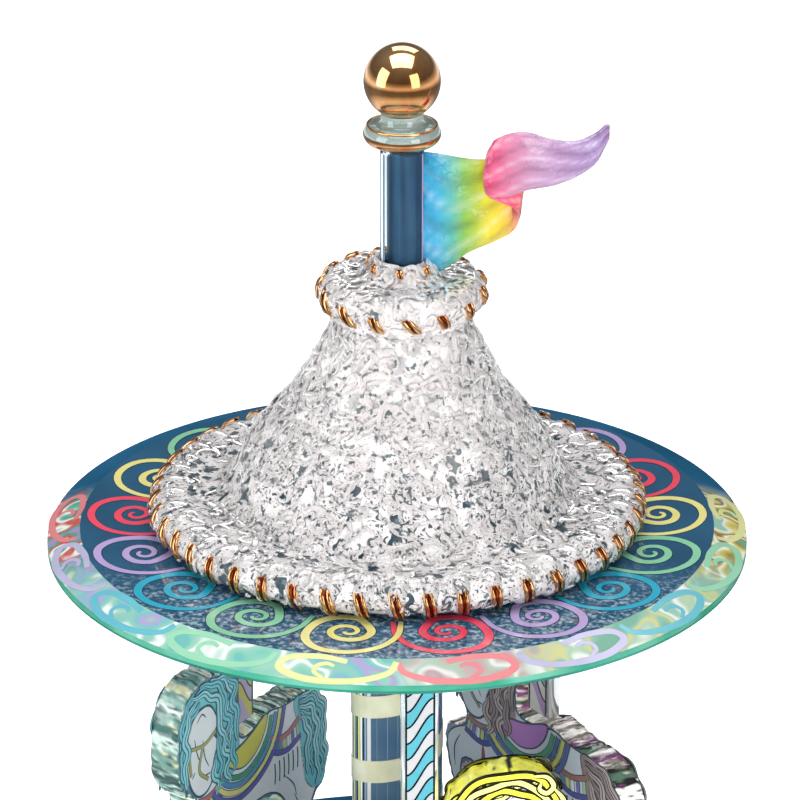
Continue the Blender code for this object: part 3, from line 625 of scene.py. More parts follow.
class Section:
    """A section of the canopy, by distance along it."""

    def __init__(self, line):
        self.line = smooth_path(line, 160)
        steps = np.linalg.norm(np.diff(self.line, axis=0), axis=1)
        self.far = np.concatenate([[0], np.cumsum(steps)])
        self.length = self.far[-1]
        along = unit(np.gradient(self.line, axis=0))
        self.out = np.stack([along[:, 1], -along[:, 0]], -1)

    def at(self, where, values=None):
        values = self.line if values is None else values
        return np.stack([np.interp(where, self.far, values[:, i]) for i in range(2)], -1)

    def place(self, where, turn, lift):
        """Points and outward directions at distances along the section, angles round, and a lift off it."""
        spot, out = self.at(where), self.at(where, self.out)
        spot = spot + out * lift[..., None]
        around = np.stack([np.cos(turn), np.sin(turn)], -1)
        points = np.concatenate([around * spot[..., :1], spot[..., 1:] + ROOF_TOP], -1)
        points[..., 0] += lean(spot[..., 1])
        normals = np.concatenate([around * out[..., :1], out[..., 1:]], -1)
        return points, unit(normals)


def lean(height):
    return LEAN * np.clip(height / 50, 0, 1)


SECTION = Section(MERIDIAN)
CROWN = Section(CROWN_LINE)


def sway(t, one, slow, fast):
    """A sine along each strand, at its own pace and from its own start."""
    return np.sin(2 * pi * (t * RNG.uniform(slow, fast, one) + RNG.uniform(0, 1, one)))


def strands(name, node, section, count, span, length, bend, thick, lift):
    """Strands of glass that wander over the canopy's skin, from long arcs to tight loops."""
    low, high = span
    rows = 14
    start = RNG.uniform(low, high, count * 4)
    radius = section.at(start)[:, 0]
    start = start[RNG.uniform(0, radius.max(), len(start)) < radius][:count]
    one = (len(start), 1)
    t = np.linspace(0, 1, rows)[None]
    run = RNG.uniform(*length, one)
    curve = run / RNG.uniform(*bend, one) * RNG.choice([-1, 1], one)
    wave = RNG.uniform(0.2, 1.1, one) * sway(t, one, 0.6, 1.6)
    heading = RNG.uniform(0, 2 * pi, one) + curve * t + wave
    step = run / (rows - 1)
    where = np.clip(start[:, None] + np.cumsum(np.cos(heading), 1) * step, low, section.length - 0.2)
    ring = section.at(where)[..., 0]
    turn = RNG.uniform(0, 2 * pi, one) + np.cumsum(np.sin(heading) * step / ring, 1)
    rise = RNG.uniform(*lift, one) + 0.2 * sway(t, one, 0.5, 1.5)
    paths, faces = section.place(where, turn, rise)
    width = RNG.uniform(*thick, one) * (1 - 0.7 * np.abs(2 * t - 1) ** 3)
    settle(sweep(name, paths, faces, width, width * 0.62, 6, [LACE]), node)


def lace_body(name, node, section, skin, thick, rows, steps):
    """The deeper glass of the canopy, which the loose strands lie on."""
    where = np.linspace(section.length, 0, rows)[:, None]
    turn = (2 * pi * np.arange(steps) / steps)[None]
    dents = np.sin(9 * turn + 0.5 * where) * np.sin(0.9 * where + 4 * turn) + np.sin(31 * turn - 1.3 * where)
    outer, _ = section.place(where + 0 * turn, turn + 0 * where, 0.16 * dents - skin)
    inner, _ = section.place(where[::-1] + 0 * turn, turn + 0 * where, -skin - thick + 0 * dents)
    points = np.concatenate([outer, inner])
    points[..., 2] = np.maximum(points[..., 2], ROOF_TOP + 0.35)
    body = tubes(name, points, 1, 2 * rows, steps, [LACE_DEPTH], closed=True, flip=True)
    settle(body, node)


def ring_point(major, section_r, height, turn, swing):
    """A point on a ring of round section: turn goes round the axis and swing round the section."""
    across = major + section_r[0] * np.cos(swing)
    rise = height + section_r[1] * np.sin(swing)
    points = np.stack([across * np.cos(turn), across * np.sin(turn), ROOF_TOP + rise], -1)
    points[..., 0] += lean(rise)
    outward = np.stack([np.cos(swing) * np.cos(turn), np.cos(swing) * np.sin(turn), np.sin(swing)], -1)
    return points, outward


def loops(name, ring, count, first, swings, slant, thick, material, shift=0.0, swell=0.0, flat=1.0,
          climb=0.0):
    """Loops of glass or gilding round a ring, one to each pitch, each over part of the ring's section.

    The climb is how far the loops at the back lie further up the section than those at the front."""
    major, section_r, height = ring
    share = np.linspace(0, 1, 15)[None]
    drift = np.sin(5.3 * np.arange(count) + 1)[:, None]  # the same for the parts of one loop
    turn = first + 2 * pi * (np.arange(count)[:, None] + 0.05 * drift) / count
    slant = slant * (1 + 0.6 * drift)
    turn = turn + (shift + slant * (share - 0.5)) / (major + section_r[0])
    swing = swings[0] + (swings[1] - swings[0]) * share + climb * (1 + np.sin(turn)) / 2
    grown = (section_r[0] + swell, section_r[1] + swell)
    paths, faces = ring_point(major, grown, height, turn, swing)
    width = thick * np.sin(pi * (0.10 + 0.80 * share)) ** 0.7 * (1 + RNG.uniform(-0.15, 0.15, (count, 1)))
    return sweep(name, paths, faces, width, width * flat, 8, [material])


def make_edge(prefix, node, ring, count, first, glass_loops, gilt):
    """A rolled edge of glass: fat loops with a pair of gold strokes on the outside of each."""
    thick, swings, slant, flat = glass_loops
    stroke, gilt_swings, gilt_slant, apart, climb = gilt
    fat = loops(f"{prefix}_loops", ring, count, first, np.radians(swings), slant, thick, LACE, flat=flat)
    settle(fat, node)
    # The name, half a stroke's width, its material, its place along the ring and how deep it lies
    parts = (
        ("gold_1", stroke, GOLD, -apart, 0.1), ("gold_2", stroke, GOLD, apart, 0.1),
        # gold_shade: a dark copper strip between the strokes, painted shade of the dark that the gilding's
        # curve reflects
        ("gold_shade", stroke * 1.1, GOLD_SHADE, 0.0, 0.2),
    )
    for name, wide, material, shift, sunk in parts:
        part = loops(f"{prefix}_{name}", ring, count, first, np.radians(gilt_swings), gilt_slant, wide,
                     material, shift=shift, swell=thick * flat - sunk, climb=radians(climb))
        settle(part, node)


def make_lace():
    lace_body("lace_body", "canopy_cone", SECTION, skin=0.4, thick=2.6, rows=110, steps=420)
    lace_body("crown_body", "canopy_top_ring", CROWN, skin=0.5, thick=1.6, rows=30, steps=180)
    middle = BRIM_END + 0.45 * (SECTION.length - BRIM_END)
    cone = ((4, 13), (1.1, 6), (0.4, 0.75), (-0.3, 0.15))
    # Name, node, section, how many, their span along it, then ranges: length, bend, thickness and lift
    lots = (
        ("lace_brim", "canopy_brim_ring", SECTION, 230, (9.0, BRIM_END + 3), (3, 8), (1.2, 5), (0.42, 0.7),
         (-0.3, 0.15)),
        ("lace_brim_face", "canopy_brim_ring", SECTION, 200, (1.5, 11.0), (2, 5), (1.2, 5), (0.3, 0.5),
        (0.0, 0.6)),
        ("lace_cone_lower", "canopy_cone", SECTION, 470, (BRIM_END - 2, middle), *cone),
        ("lace_cone_upper", "canopy_cone", SECTION, 450, (middle, SECTION.length), *cone),
        ("crown_strands", "canopy_top_ring", CROWN, 330, (4, CROWN.length), (3, 9), (0.9, 3.5), (0.36, 0.6),
         (-0.2, 0.3)),
    )
    for lot in lots:
        strands(*lot)
    # Name, node, ring (radius, section, height), how many loops, the first one's angle; then of the glass:
    # thickness, degrees of section, slant and flatness; and of the gilt: width, degrees, slant, gap and climb
    edges = (
        ("brim", "canopy_brim_ring", (47.6, (4.4, 3.3), 4.3), 46, radians(-90.4),
         (2.5, (-75, 105), 1.4, 0.72), (0.6, (-40, 30), -1.3, 0.72, 40)),
        ("top_ring", "canopy_top_ring", (14.0, (3.0, 3.1), 53.4), 15, radians(-84),
         (1.8, (-120, 120), -3.0, 0.7), (0.62, (-48, 6), -1.8, 0.7, 80)),
        ("crown", "canopy_top_ring", (6.3, (0.7, 0.7), 59.7), 7, radians(-96),
         (1.0, (-60, 100), -0.5, 0.7), (0.42, (-30, 70), -0.4, 0.4, 0)),
    )
    for edge in edges:
        make_edge(*edge)


# --- the bevelled discs ---

# The scrolls: how many, the radius of their middles, where the two hands meet, and the angle between them
SCROLLS, SCROLL_R, SEAM, PITCH = 17, 57.2, radians(-90.0), radians(20.6)
SCROLL_COLOURS = [srgb(tone) for tone in ("d8405a", "a693c2", "1e98b4", "7cba96", "d6ce80")]
SCROLL_SHADE, ECHO_GROUND = srgb("183644"), srgb("9cc0b0")
# One scroll, along the rim away from the seam and outwards, from its corner round the outer loop
SCROLL_LOOP = (
    (-11.2, -5.4), (-10.4, 1), (-7, 6.6), (-1.4, 9.6), (4.4, 8.8), (7.8, 4), (7.4, -2.6), (3.8, -6.2),
    (-1, -6.4),
)
# Half the width of a scroll's stroke, by the share of the way along it
SWELL_AT, SWELL = (0, 0.12, 0.3, 0.5, 0.7, 1), (0.55, 0.8, 1.0, 0.86, 0.66, 0.36)
# The echoes of a scroll on the bevel, painted refractions of the scroll bent through the bevel: first and
# last point of the part they repeat (from the end if negative), the height that is squeezed, squeeze, stretch
# and width
ECHOES = ((0, 40, 1.7, 0.38, 1.0, 0.8), (50, -16, 0.0, 0.6, 0.62, 0.5))
ECHO_SHARE = 0.72  # of the scroll's own colour in its echo
BLUE_FROM = 0.2  # the sine of the angle from which the back of the bevel is as blue as the field
SLOPE = (ROOF_TOP - ROOF_UNDER - LAND) / BEVEL_WIDTH


def scroll_line(rows=90):
    """The outer loop, then a spiral of one and a half turns into the middle."""
    turns = np.linspace(radians(225), radians(225 - 560), 14)
    radius = np.linspace(5.3, 0.7, 14)
    spiral = np.stack([radius * np.cos(turns), radius * np.sin(turns) * 0.92], -1)
    return smooth_path(np.concatenate([SCROLL_LOOP, spiral]), rows)


def bent(points, turn, hand):
    """Flat scroll points bent round the disc, with their radius."""
    radius = SCROLL_R + points[:, 1]
    angle = turn + hand * points[:, 0] / SCROLL_R
    return np.stack([radius * np.cos(angle), radius * np.sin(angle)], -1), radius


def disc_height(radius):
    """Height of the roof disc's upper face."""
    return ROOF_TOP - np.maximum(radius - FLAT_R, 0) * SLOPE


def disc_normals(points):
    """Which way the disc's upper face looks at each point."""
    radius = np.linalg.norm(points[..., :2], axis=-1, keepdims=True)
    lean_out = SLOPE * np.clip((radius - FLAT_R) / 0.6 + 0.5, 0, 1)
    return unit(np.concatenate([points[..., :2] / radius * lean_out, np.ones_like(radius)], -1))


def scroll_places():
    """(angle, hand, colour) of each scroll. The two hands meet at the seam, and again behind."""
    for i in range(SCROLLS):
        away = (i // 2 + 0.5) * PITCH
        hand = 1 if i % 2 == 0 else -1
        number = i // 2 if hand > 0 else -1 - i // 2
        yield SEAM + hand * away, hand, SCROLL_COLOURS[number % len(SCROLL_COLOURS)]


def bevelled_disc(name, node, under, top):
    """A disc with a flat top, a wide bevel and a ground land, in three finishes."""
    land = under + LAND
    profile = [
        (0.2, top), (FLAT_R, top), (DISC_R - 0.15, land + 0.05), (DISC_R, land - 0.2), (DISC_R, under + 0.75),
        (DISC_R - 0.02, under + 0.25), (DISC_R - 0.25, under), (0.2, under),
    ]
    steps = 256
    disc = lathe(name, profile, [FIELD_GLASS, BEVEL_GLASS, LAND_GLASS, EDGE_GLASS], steps, sharp=12)
    set_finishes(disc, [(steps, 2 * steps, 1), (2 * steps, 4 * steps, 2), (4 * steps, 6 * steps, 3)])
    settle(disc, node)


def make_scrolls():
    line = scroll_line()
    rows = len(line)
    paths, widths, tints = [], [], []
    share_along = np.linspace(0, 1, rows)
    swell = np.interp(share_along, SWELL_AT, SWELL)
    for number, (turn, hand, colour) in enumerate(scroll_places()):
        flat, radius = bent(line, turn, hand)
        lift = 0.008 * (number % 4)  # no two that touch lie at one height
        for height, grow, tone in ((0.03, 0.2, SCROLL_SHADE), (0.07, 0.0, colour)):
            paths.append(np.column_stack([flat, disc_height(radius) + height + lift]))
            widths.append(swell + grow)
            tints.append(tone)
        if sin(turn) > BLUE_FROM:
            continue
        # Painted refractions of the scroll in the bevel, left out at the back where the bevel is blue.
        for first, last, level, squeeze, stretch, wide in ECHOES:
            shifted = (line[first:last] - [0.0, level]) * [stretch, squeeze] + [1.0, BEVEL_MIDDLE - SCROLL_R]
            flat, radius = bent(smooth_path(shifted[::5], rows), turn, hand)
            paths.append(np.column_stack([flat, disc_height(radius) + 0.02 + lift + 0.02 * ECHO_SHARE]))
            widths.append(wide * (0.8 + 0.3 * np.sin(pi * share_along)))
            tints.append(ECHO_SHARE * np.array(colour) + (1 - ECHO_SHARE) * np.array(ECHO_GROUND))
    paths = np.array(paths)
    scrolls = sweep("roof_scrolls", paths, disc_normals(paths), np.array(widths), 0.02, 4, [ENAMEL],
                    tints=tints)
    settle(scrolls)


# --- finial, rod and pennant ---

# The collar's glass disc: half its height as a share of the CAD collar's, and how far it stands up
COLLAR_HALF, COLLAR_LIFT = 0.44, 0.5
ROD_SHARE = 0.93  # the rod's radius as a share of the CAD rod's
CORE_R, CORE_ASIDE, CORE_INSET = 3.45, 0.75, 0.5  # the rod's blue core: it lies off the middle
# The rod's lines of painted light: white painted highlights, grey painted shade of its edges and a mauve
# painted reflection; angle round it, half width and tone
ROD_LIGHT_AND_SHADE_LINES = tuple(
    (angle, 0.3, tone)
    for angle, tone in (
        (-172, "74899a"), (-156, "f4f8fa"), (-146, "5f7a8e"), (-22, "a893bd"), (20, "f0f4f6"), (96, "8fa3b0"),
    )
)


def leaned(name, profile, material, node, close=False):
    """A turned piece that stands over the canopy, moved aside by the canopy's lean."""
    settle(lathe(name, profile, [material], 96, at=(LEAN, 0), close=close), node)


def make_finial():
    low, high = low_high("finial_ball")
    radius, foot = (high[0] - low[0]) / 2, low[2]
    ball = arc((0, high[2] - radius), radius, np.linspace(pi / 2 - 0.02, -radians(56), 40))
    ball.append((0.1, ball[-1][1] - 0.4))
    leaned("finial_gold_ball", ball, GOLD, "finial_ball")
    dome = ((0.1, 3.0), (4.5, 2.4), (4.5, 1.0), (4.9, 0.3), (5.8, -0.5), (0.1, -0.5))
    dome = [(across, foot + rise) for across, rise in dome]
    leaned("finial_glass_seat", dome, CLEAR, "finial_ball")
    low, high = low_high("finial_collar")
    half = COLLAR_HALF * (high[2] - low[2])
    centre = ((high[0] - low[0]) / 2 - half, high[2] - half + COLLAR_LIFT)
    side = arc(centre, half, np.linspace(pi / 2, -pi / 2, 24))
    bead = [(0.1, centre[1] + half), *side, (0.1, centre[1] - half)]
    leaned("finial_glass_collar", bead, CLEAR, "finial_collar")
    wire_at = arc(centre, half, [radians(52)])[0]
    wire = arc(wire_at, 0.3, -np.linspace(0, 2 * pi, 12, endpoint=False))
    leaned("finial_gold_edge", wire, GOLD, "finial_collar", close=True)
    turns = np.linspace(radians(4), -radians(80), 14)
    band = arc(centre, half + 0.07, turns) + arc(centre, half + 0.01, turns[::-1])
    leaned("finial_gold_band", band, GOLD, "finial_collar", close=True)


def tube_lines(name, lines, radius, foot, top, inset, thick, node, middle=0.0):
    """Lines up a rod or tube: each an angle round it, half a width and a tone. On the rod they are painted
    highlights, painted shade and a painted reflection.
    """
    paths = []
    for angle, _, _ in lines:
        x, y = middle + radius * cos(radians(angle)), radius * sin(radians(angle))
        paths.append([(x, y, foot + inset + (top - foot - 2 * inset) * k / 3) for k in range(4)])
    paths = np.array(paths)
    widths = np.array([[width] for _, width, _ in lines])
    faces = (paths - [middle, 0, 0]) * [1, 1, 0]
    tints = [srgb(tone) for _, _, tone in lines]
    settle(sweep(name, paths, faces, widths, thick, 4, [ENAMEL], tints=tints), node)


def make_rod():
    low, high = low_high("canopy_pole")
    radius = ROD_SHARE * (high[0] - low[0]) / 2
    top, foot = high[2], low[2]
    outer = [(0.1, top), (radius - 0.3, top), (radius, top - 0.3), (radius, foot), (0.1, foot)]
    leaned("canopy_rod", outer, ROD_GLASS, "canopy_pole")
    low, high = foot + CORE_INSET, top - CORE_INSET
    core = lathe("rod_core", [(0.1, high), (CORE_R, high), (CORE_R, low), (0.1, low)], [ROD_CORE], 64,
                 at=(LEAN + CORE_ASIDE, 0))
    settle(core, "canopy_pole")
    # painted highlights, shade and reflection down the rod
    tube_lines("rod_light_and_shade_lines", ROD_LIGHT_AND_SHADE_LINES, radius + 0.02, foot, top, 0.4, 0.04, "canopy_pole", LEAN)


# The pennant's line seen from above, with the heights of its two edges above the roof disc:
# (out from the axis, towards the back, lower edge, upper edge)
PENNANT = (
    (5.0, 0.0, 56.4, 85.0), (8.5, -0.2, 58.0, 84.5), (12.5, 0.2, 60.8, 83.7), (16.5, 0.8, 62.9, 83.1),
    (20.5, 1.4, 64.6, 83.0), (23.6, 1.3, 66.2, 83.6), (25.0, 0.2, 69.4, 84.6), (24.2, -1.4, 72.6, 86.0),
    (21.2, -2.2, 74.4, 87.2), (18.9, -3.2, 75.8, 87.0), (19.8, -4.6, 76.6, 89.3), (23.0, -5.2, 77.0, 91.0),
    (27.0, -5.0, 78.2, 91.0), (32.0, -4.2, 79.0, 89.3), (37.0, -3.4, 80.4, 88.8), (41.0, -2.8, 83.4, 90.1),
    (43.0, -2.6, 86.6, 91.9), (44.0, -2.6, 88.8, 92.0),
)
# The pennant's colours: share of the way along its stations, and the tone there
PENNANT_TONES = (
    (0.0, "2690bc"), (0.05, "3699bc"), (0.09, "4aa09a"), (0.13, "74a64a"), (0.17, "9cb034"), (0.2, "ccc02a"),
    (0.25, "d6b832"), (0.3, "d09a48"), (0.35, "cc7852"), (0.4, "c84858"), (0.46, "c8205a"), (0.57, "c42c60"),
    (0.65, "b86c8c"), (0.73, "aa82a4"), (0.84, "9378a4"), (0.95, "866a9a"), (1.0, "7a5e86"),
)


def make_pennant():
    """A waved and folded sheet of glass, with its streaks in its points' colours: darker lines along it, and
    streaks mixed toward white that are painted highlights.
    """
    stations = smooth_path(PENNANT, 140)
    rise = 16
    share = np.linspace(0, 1, rise)
    where = np.linspace(0, 1, len(stations))
    along = unit(np.gradient(stations[:, :2], axis=0))
    out = np.stack([along[:, 1], -along[:, 0], np.zeros(len(along))], -1)
    edge = 1.25 * np.sqrt(np.clip(1 - (2 * share - 1) ** 4, 0.02, 1))
    spots = np.empty((len(stations), rise, 3))
    spots[..., 0] = stations[:, None, 0] + LEAN * 0.6
    spots[..., 1] = stations[:, None, 1]
    spots[..., 2] = ROOF_TOP + stations[:, None, 2] + share * (stations[:, 3] - stations[:, 2])[:, None]
    taper = np.interp(where, [0, 0.85, 1], [1, 0.9, 0.45])[:, None, None]
    ripple = 0.5 * np.sin(spots[..., 2:] * 0.42 + spots[..., :1] * 0.5)
    front = spots + out[:, None] * (edge[None, :, None] * taper + ripple * 0.6)
    back = spots - out[:, None] * (edge[None, :, None] * taper - ripple * 0.6)
    points = np.concatenate([front, back[:, ::-1]], axis=1)
    flag = tubes("pennant_glass", points, 1, len(stations), 2 * rise, [PENNANT_GLASS])
    stops = [stop for stop, _ in PENNANT_TONES]
    colours = np.array([srgb(tone) for _, tone in PENNANT_TONES])
    tint = np.stack([np.interp(where, stops, colours[:, i]) for i in range(3)], -1)
    level = np.concatenate([share, share[::-1]])
    flow = np.sin(2 * pi * (2.4 * level + 0.35 * np.sin(15 * where)[:, None] + 0.9 * where[:, None]))
    shade = 1 - 0.3 * np.clip(flow, 0, 1)[..., None] ** 3
    # painted highlights: streaks mixed toward white
    painted_glint = 0.16 * np.clip(-flow, 0, 1)[..., None] ** 8
    set_tint(flag, (tint[:, None] * shade * (1 - painted_glint) + painted_glint).reshape(-1, 3))
    settle(flag, "pennant_flag")


# --- prints on flat glass ---

LAYER = 0.03  # between the coats of a print


class Print:
    """Flat shapes and lines in layers, in a panel's own (across, up), each with its colour."""

    def __init__(self):
        self.points, self.faces, self.tints = [], [], []

    def add(self, points, faces, colour):
        start = len(self.points)
        self.points += [tuple(p) for p in points]
        self.faces += [[start + i for i in face] for face in faces]
        self.tints += [srgb(colour)] * len(points)

    def fill(self, outline, colour, layer, rows=60, smooth=True):
        ring = smooth_path(outline, rows, closed=True) if smooth else np.asarray(outline, float)
        count = len(ring)
        low = np.column_stack([ring, np.full(count, 0.01)])
        high = np.column_stack([ring, np.full(count, LAYER * layer)])
        sides = [(i, (i + 1) % count, count + (i + 1) % count, count + i) for i in range(count)]
        self.add(np.concatenate([low, high]), [list(range(count, 2 * count)), *sides], colour)

    def line(self, points, width, colour, layer, rows=24, taper=0.0, closed=False):
        path = smooth_path(points, rows, closed)
        if closed:
            path = np.concatenate([path, path[:1]])
        count = len(path)
        along = unit(np.gradient(path, axis=0))
        across = np.stack([-along[:, 1], along[:, 0]], -1)
        share = np.linspace(0, 1, count)
        half = width / 2 * (1 - taper * np.abs(2 * share - 1) ** 2.5)
        sides = [path + across * half[:, None], path - across * half[:, None]]
        heights = (LAYER * layer, 0.01)
        rings = [np.column_stack([side, np.full(count, h)]) for h in heights for side in sides]
        left, right, low_left, low_right = (k * count + np.arange(count) for k in range(4))
        faces = []
        for a, b in ((left, right), (low_left, left), (right, low_right)):
            faces += [[a[i], a[i + 1], b[i + 1], b[i]] for i in range(count - 1)]
        self.add(np.concatenate(rings), faces, colour)

    def patch(self, outline, colour, layer, ink, width, rows=110):
        """A filled shape that lies on its own outline."""
        self.line(outline, width, ink, layer, rows=rows, closed=True)
        self.fill(outline, colour, layer + 1, rows=rows)

    def outlined(self, points, width, colour, layer, ink, border, **how):
        """A line that lies on a wider one in ink."""
        self.line(points, width + 2 * border, ink, layer, **how)
        self.line(points, width, colour, layer + 1, **how)

    def build(self, name, place, slot, node):
        """Lays the print out with place(across, up, height), which gives points in millimetres."""
        flat = np.array(self.points)
        mesh = bpy.data.meshes.new(name)
        mesh.from_pydata((place(flat) * MM).tolist(), [], self.faces)
        mesh.materials.append(ENAMEL)
        obj = bpy.data.objects.new(name, mesh)
        bpy.context.scene.collection.objects.link(obj)
        set_tint(obj, self.tints)
        settle(obj, node)


PANEL_ANGLES = {"front": -83.5, "right": 36.5, "left": 150.0}
PANEL_INNER_R, PANEL_OUTER_R = 38.0, 45.0


def placed(side, foot, radius, way):
    """Where a face's points (across, up, off it) go. way is 1 if the face looks out, or else -1."""
    turn = radians(PANEL_ANGLES[side])
    out = np.array([cos(turn), sin(turn), 0])
    heading = np.array([-sin(turn), cos(turn), 0])
    up = np.array([0, 0, 1.0])

    def place(flat):
        return out * (radius + way * flat[:, 2:]) + heading * flat[:, :1] + up * (foot + flat[:, 1:2])

    return place


# One horse, along its heading and up from its hooves, with its pole at 0
HORSE_OUTLINE = (
    (5.2, 40), (5.2, 44), (5.6, 49.4), (7, 53), (10.6, 56.2), (15.6, 58.4), (21, 58.8), (26, 57.2),
    (29.6, 53.6), (31.2, 48), (31.6, 42), (30.6, 36.6), (27.8, 33), (25.2, 31), (25, 28.4), (28, 26),
    (31.4, 25), (32.8, 21), (31.4, 14), (28.6, 9.4), (25.4, 11), (24.8, 16), (21.2, 17), (18.7, 13),
    (18.9, 7), (20.3, 2.6), (17.2, 0), (12.9, 1), (11.8, 8), (9.6, 14.4), (4, 16.6), (-5, 17),
    (-11, 14.6), (-14.6, 9.4), (-16.9, 4), (-18.6, 0.3), (-23.1, 0.3), (-25.4, 4.6), (-28.4, 8.4),
    (-31.8, 10.6), (-33.6, 16), (-33, 22), (-33.2, 27.6), (-31.6, 32), (-28.8, 35.2), (-24.6, 37),
    (-19, 37.8), (-14, 38.2), (-10, 39.2), (-7, 39.8), (-5.4, 39.2), (-4.4, 38.1), (0, 38), (4.2, 38),
)
BODY = (
    (6.6, 46), (6.4, 40), (4.6, 37), (0, 36.6), (-4.6, 37.2), (-8, 38.4), (-13, 37.2), (-20, 36.6), (-26, 35),
    (-30.2, 30.4), (-31.4, 22), (-31, 13.6), (-27.4, 10.2), (-24.4, 6), (-22.8, 1.6), (-19.4, 1.6),
    (-17.6, 6),
    (-15, 11.4), (-11.4, 16), (-5, 18.6), (4.4, 18.2), (10.6, 16), (13.2, 9), (14, 2.4), (17.2, 1.6),
    (18.8, 3),
    (17.4, 8), (17.4, 13.6), (20.6, 18.6), (25.8, 17.8), (26.8, 12.2), (28.6, 11.4), (30.2, 15), (31.2, 21),
    (28.4, 24.4), (24, 27), (23.4, 31.4), (20, 34), (15.6, 40), (13.4, 47), (9, 50),
)
HEAD = (
    (16.4, 49.6), (19, 51.6), (23, 51.4), (26, 49), (27.4, 45), (27.4, 39.6), (26.2, 34.6), (23.4, 31),
    (19.8, 30.6), (17.2, 32.8), (16.6, 37), (14.8, 41), (16.2, 43.4), (14.8, 46),
)
MANE = (
    ((11.6, 56), (7.6, 52), (8.4, 47.6), (6.6, 43.6), (7.6, 40), (6.4, 37.6)),
    ((17.6, 57.2), (12, 55.4), (8.8, 51.4), (9.8, 47.2), (7.8, 43), (9.2, 39), (8, 35)),
    ((22, 57.4), (16.4, 56), (12, 52), (12.4, 48), (10, 44.4), (11.2, 40.4), (9.6, 36.4)),
    ((25.2, 56), (20, 54.8), (15.8, 52.2), (13.6, 48.8), (14.6, 45.2), (12.2, 41.8), (13.2, 38)),
    ((14.2, 42.6), (14.8, 39.2), (12.8, 36), (14.2, 32.6), (12.6, 29.6)),
    ((11.4, 41), (12, 37.6), (10.2, 34.6), (11.4, 31.4), (9.8, 28.8)),
    ((8.6, 40), (9.2, 36.6), (7.8, 33.6), (8.6, 30.8)),
    ((16, 37.4), (16.6, 34.2), (14.8, 31.2), (15.6, 28)),
    ((24.6, 57), (28, 53.6), (29.4, 49), (28.8, 44.6), (30, 40), (28.4, 37.4), (27.6, 35.4)),
    ((23.4, 55), (27, 51.6), (28.2, 47), (27.8, 42.6), (28.8, 38), (28, 34.8)),
    ((22, 53.8), (25.6, 51.2), (27.2, 48)),
)
TAIL = (
    ((-20.6, 36.6), (-25.4, 36), (-29.6, 32.8), (-31.6, 28), (-31, 23), (-32.2, 18), (-31, 13)),
    ((-20, 35.6), (-25, 34.6), (-28.6, 31), (-29.8, 26.4), (-29.2, 21.6), (-30.4, 16.6), (-29.2, 12)),
    ((-20, 34.4), (-24.6, 32.8), (-27.2, 29.2), (-28, 24.8), (-27.2, 20), (-28.6, 15), (-27.4, 11)),
    ((-20.4, 33), (-23.8, 31), (-25.8, 27.6), (-26, 23), (-25.2, 18.6), (-26.4, 14)),
    ((-21, 31.4), (-23, 29.2), (-24.2, 26), (-24, 22), (-23.4, 18.6), (-24.2, 15.4)),
)
CREST_ARC = (
    (5.8, 41), (5.8, 46.4), (7.4, 51.6), (11.2, 55.6), (16, 57.6), (21.2, 57.8), (26, 56), (29.2, 52),
    (30.6, 46),
    (30.4, 40),
)
CREST_CENTRE = (17.5, 44.0)
CURLS = (
    ((24, 57.6), (27, 57.2), (28.4, 55), (27, 53.4), (25.4, 54.4), (25.8, 56)),
    ((28.6, 54.4), (30.6, 51.4), (30, 48), (31, 44.6)),
    ((5, 49.6), (6.6, 47), (5, 44.4), (6.4, 42)),
)
SADDLE = (
    (-6, 38.6), (-3.6, 38.2), (-0.6, 37), (3.4, 35.8), (7.6, 35), (10.2, 33), (8.2, 31.2), (3.7, 30),
    (-1.4, 31.6),
    (-4.8, 35),
)
BLANKET = ((12.6, 32), (9.2, 29.2), (3.6, 27.8), (-2.6, 29.6), (-6.6, 33.4), (-8.2, 38))
HAIR_MASS = (
    (28.0, 34.6), (30.3, 42), (29.6, 49.4), (26.4, 54.4), (21, 56.8), (15, 56.4), (9.8, 53.4), (7, 48),
    (6.2, 42),
    (6, 36), (7.6, 31.6), (11, 29), (14, 29.6), (16.4, 33), (15, 44), (20, 49), (25.6, 46), (27.4, 38),
    (28, 33),
)
TAIL_MASS = (
    (-18.4, 36.4), (-24, 36.4), (-29, 34), (-31.8, 29.4), (-31.8, 20), (-31.2, 11.6), (-27.4, 10.4),
    (-23.4, 14),
    (-22, 20), (-20.6, 28),
)
RUMP_STRAPS = (
    ((-7.4, 31.8), (-11.4, 30), (-15.6, 29.8), (-20.4, 31.6)),
    ((-8.4, 27.8), (-12, 26.2), (-16, 25.6), (-21, 26.8)),
)
CHEST_STRAPS = (
    ((12.4, 31.6), (16, 29.4), (19.6, 28.8), (23.4, 29.4)),
    ((12.8, 27.4), (16.4, 25.2), (20, 24.8), (24.6, 26)),
)
FACE_LINES = (
    ((19.4, 49), (21.2, 50.4), (23.4, 49)), ((24.4, 45.6), (23.4, 41.6), (22, 38.6)), ((18, 34.6),
    (20.6, 34.8)),
    ((24.4, 37.4), (25.6, 36.2)), ((21, 44), (20.2, 39.4), (18.6, 36.4)),
)
LEG_LINES = (
    ((14.4, 16), (15.4, 10), (15.8, 4)), ((26.6, 23.4), (28.6, 19.6), (28.4, 14.6)), ((-18, 13),
    (-20.4, 8), (-21, 4)),
    ((-13.6, 19.6), (-17.6, 15.6), (-19, 12)), ((9.4, 21), (12.6, 17.4), (13.8, 13)),
)
BRIDLE = (((15.6, 44), (20.6, 42.6), (27.6, 44)), ((21, 42.6), (22.6, 37), (19, 33.4)), ((27, 44), (26, 37)))
BEADS = ("d8dfe2", "5f9a94", "6a8fb4", "c8cf74", "d8dfe2", "7a78b4", "9cc4a4")

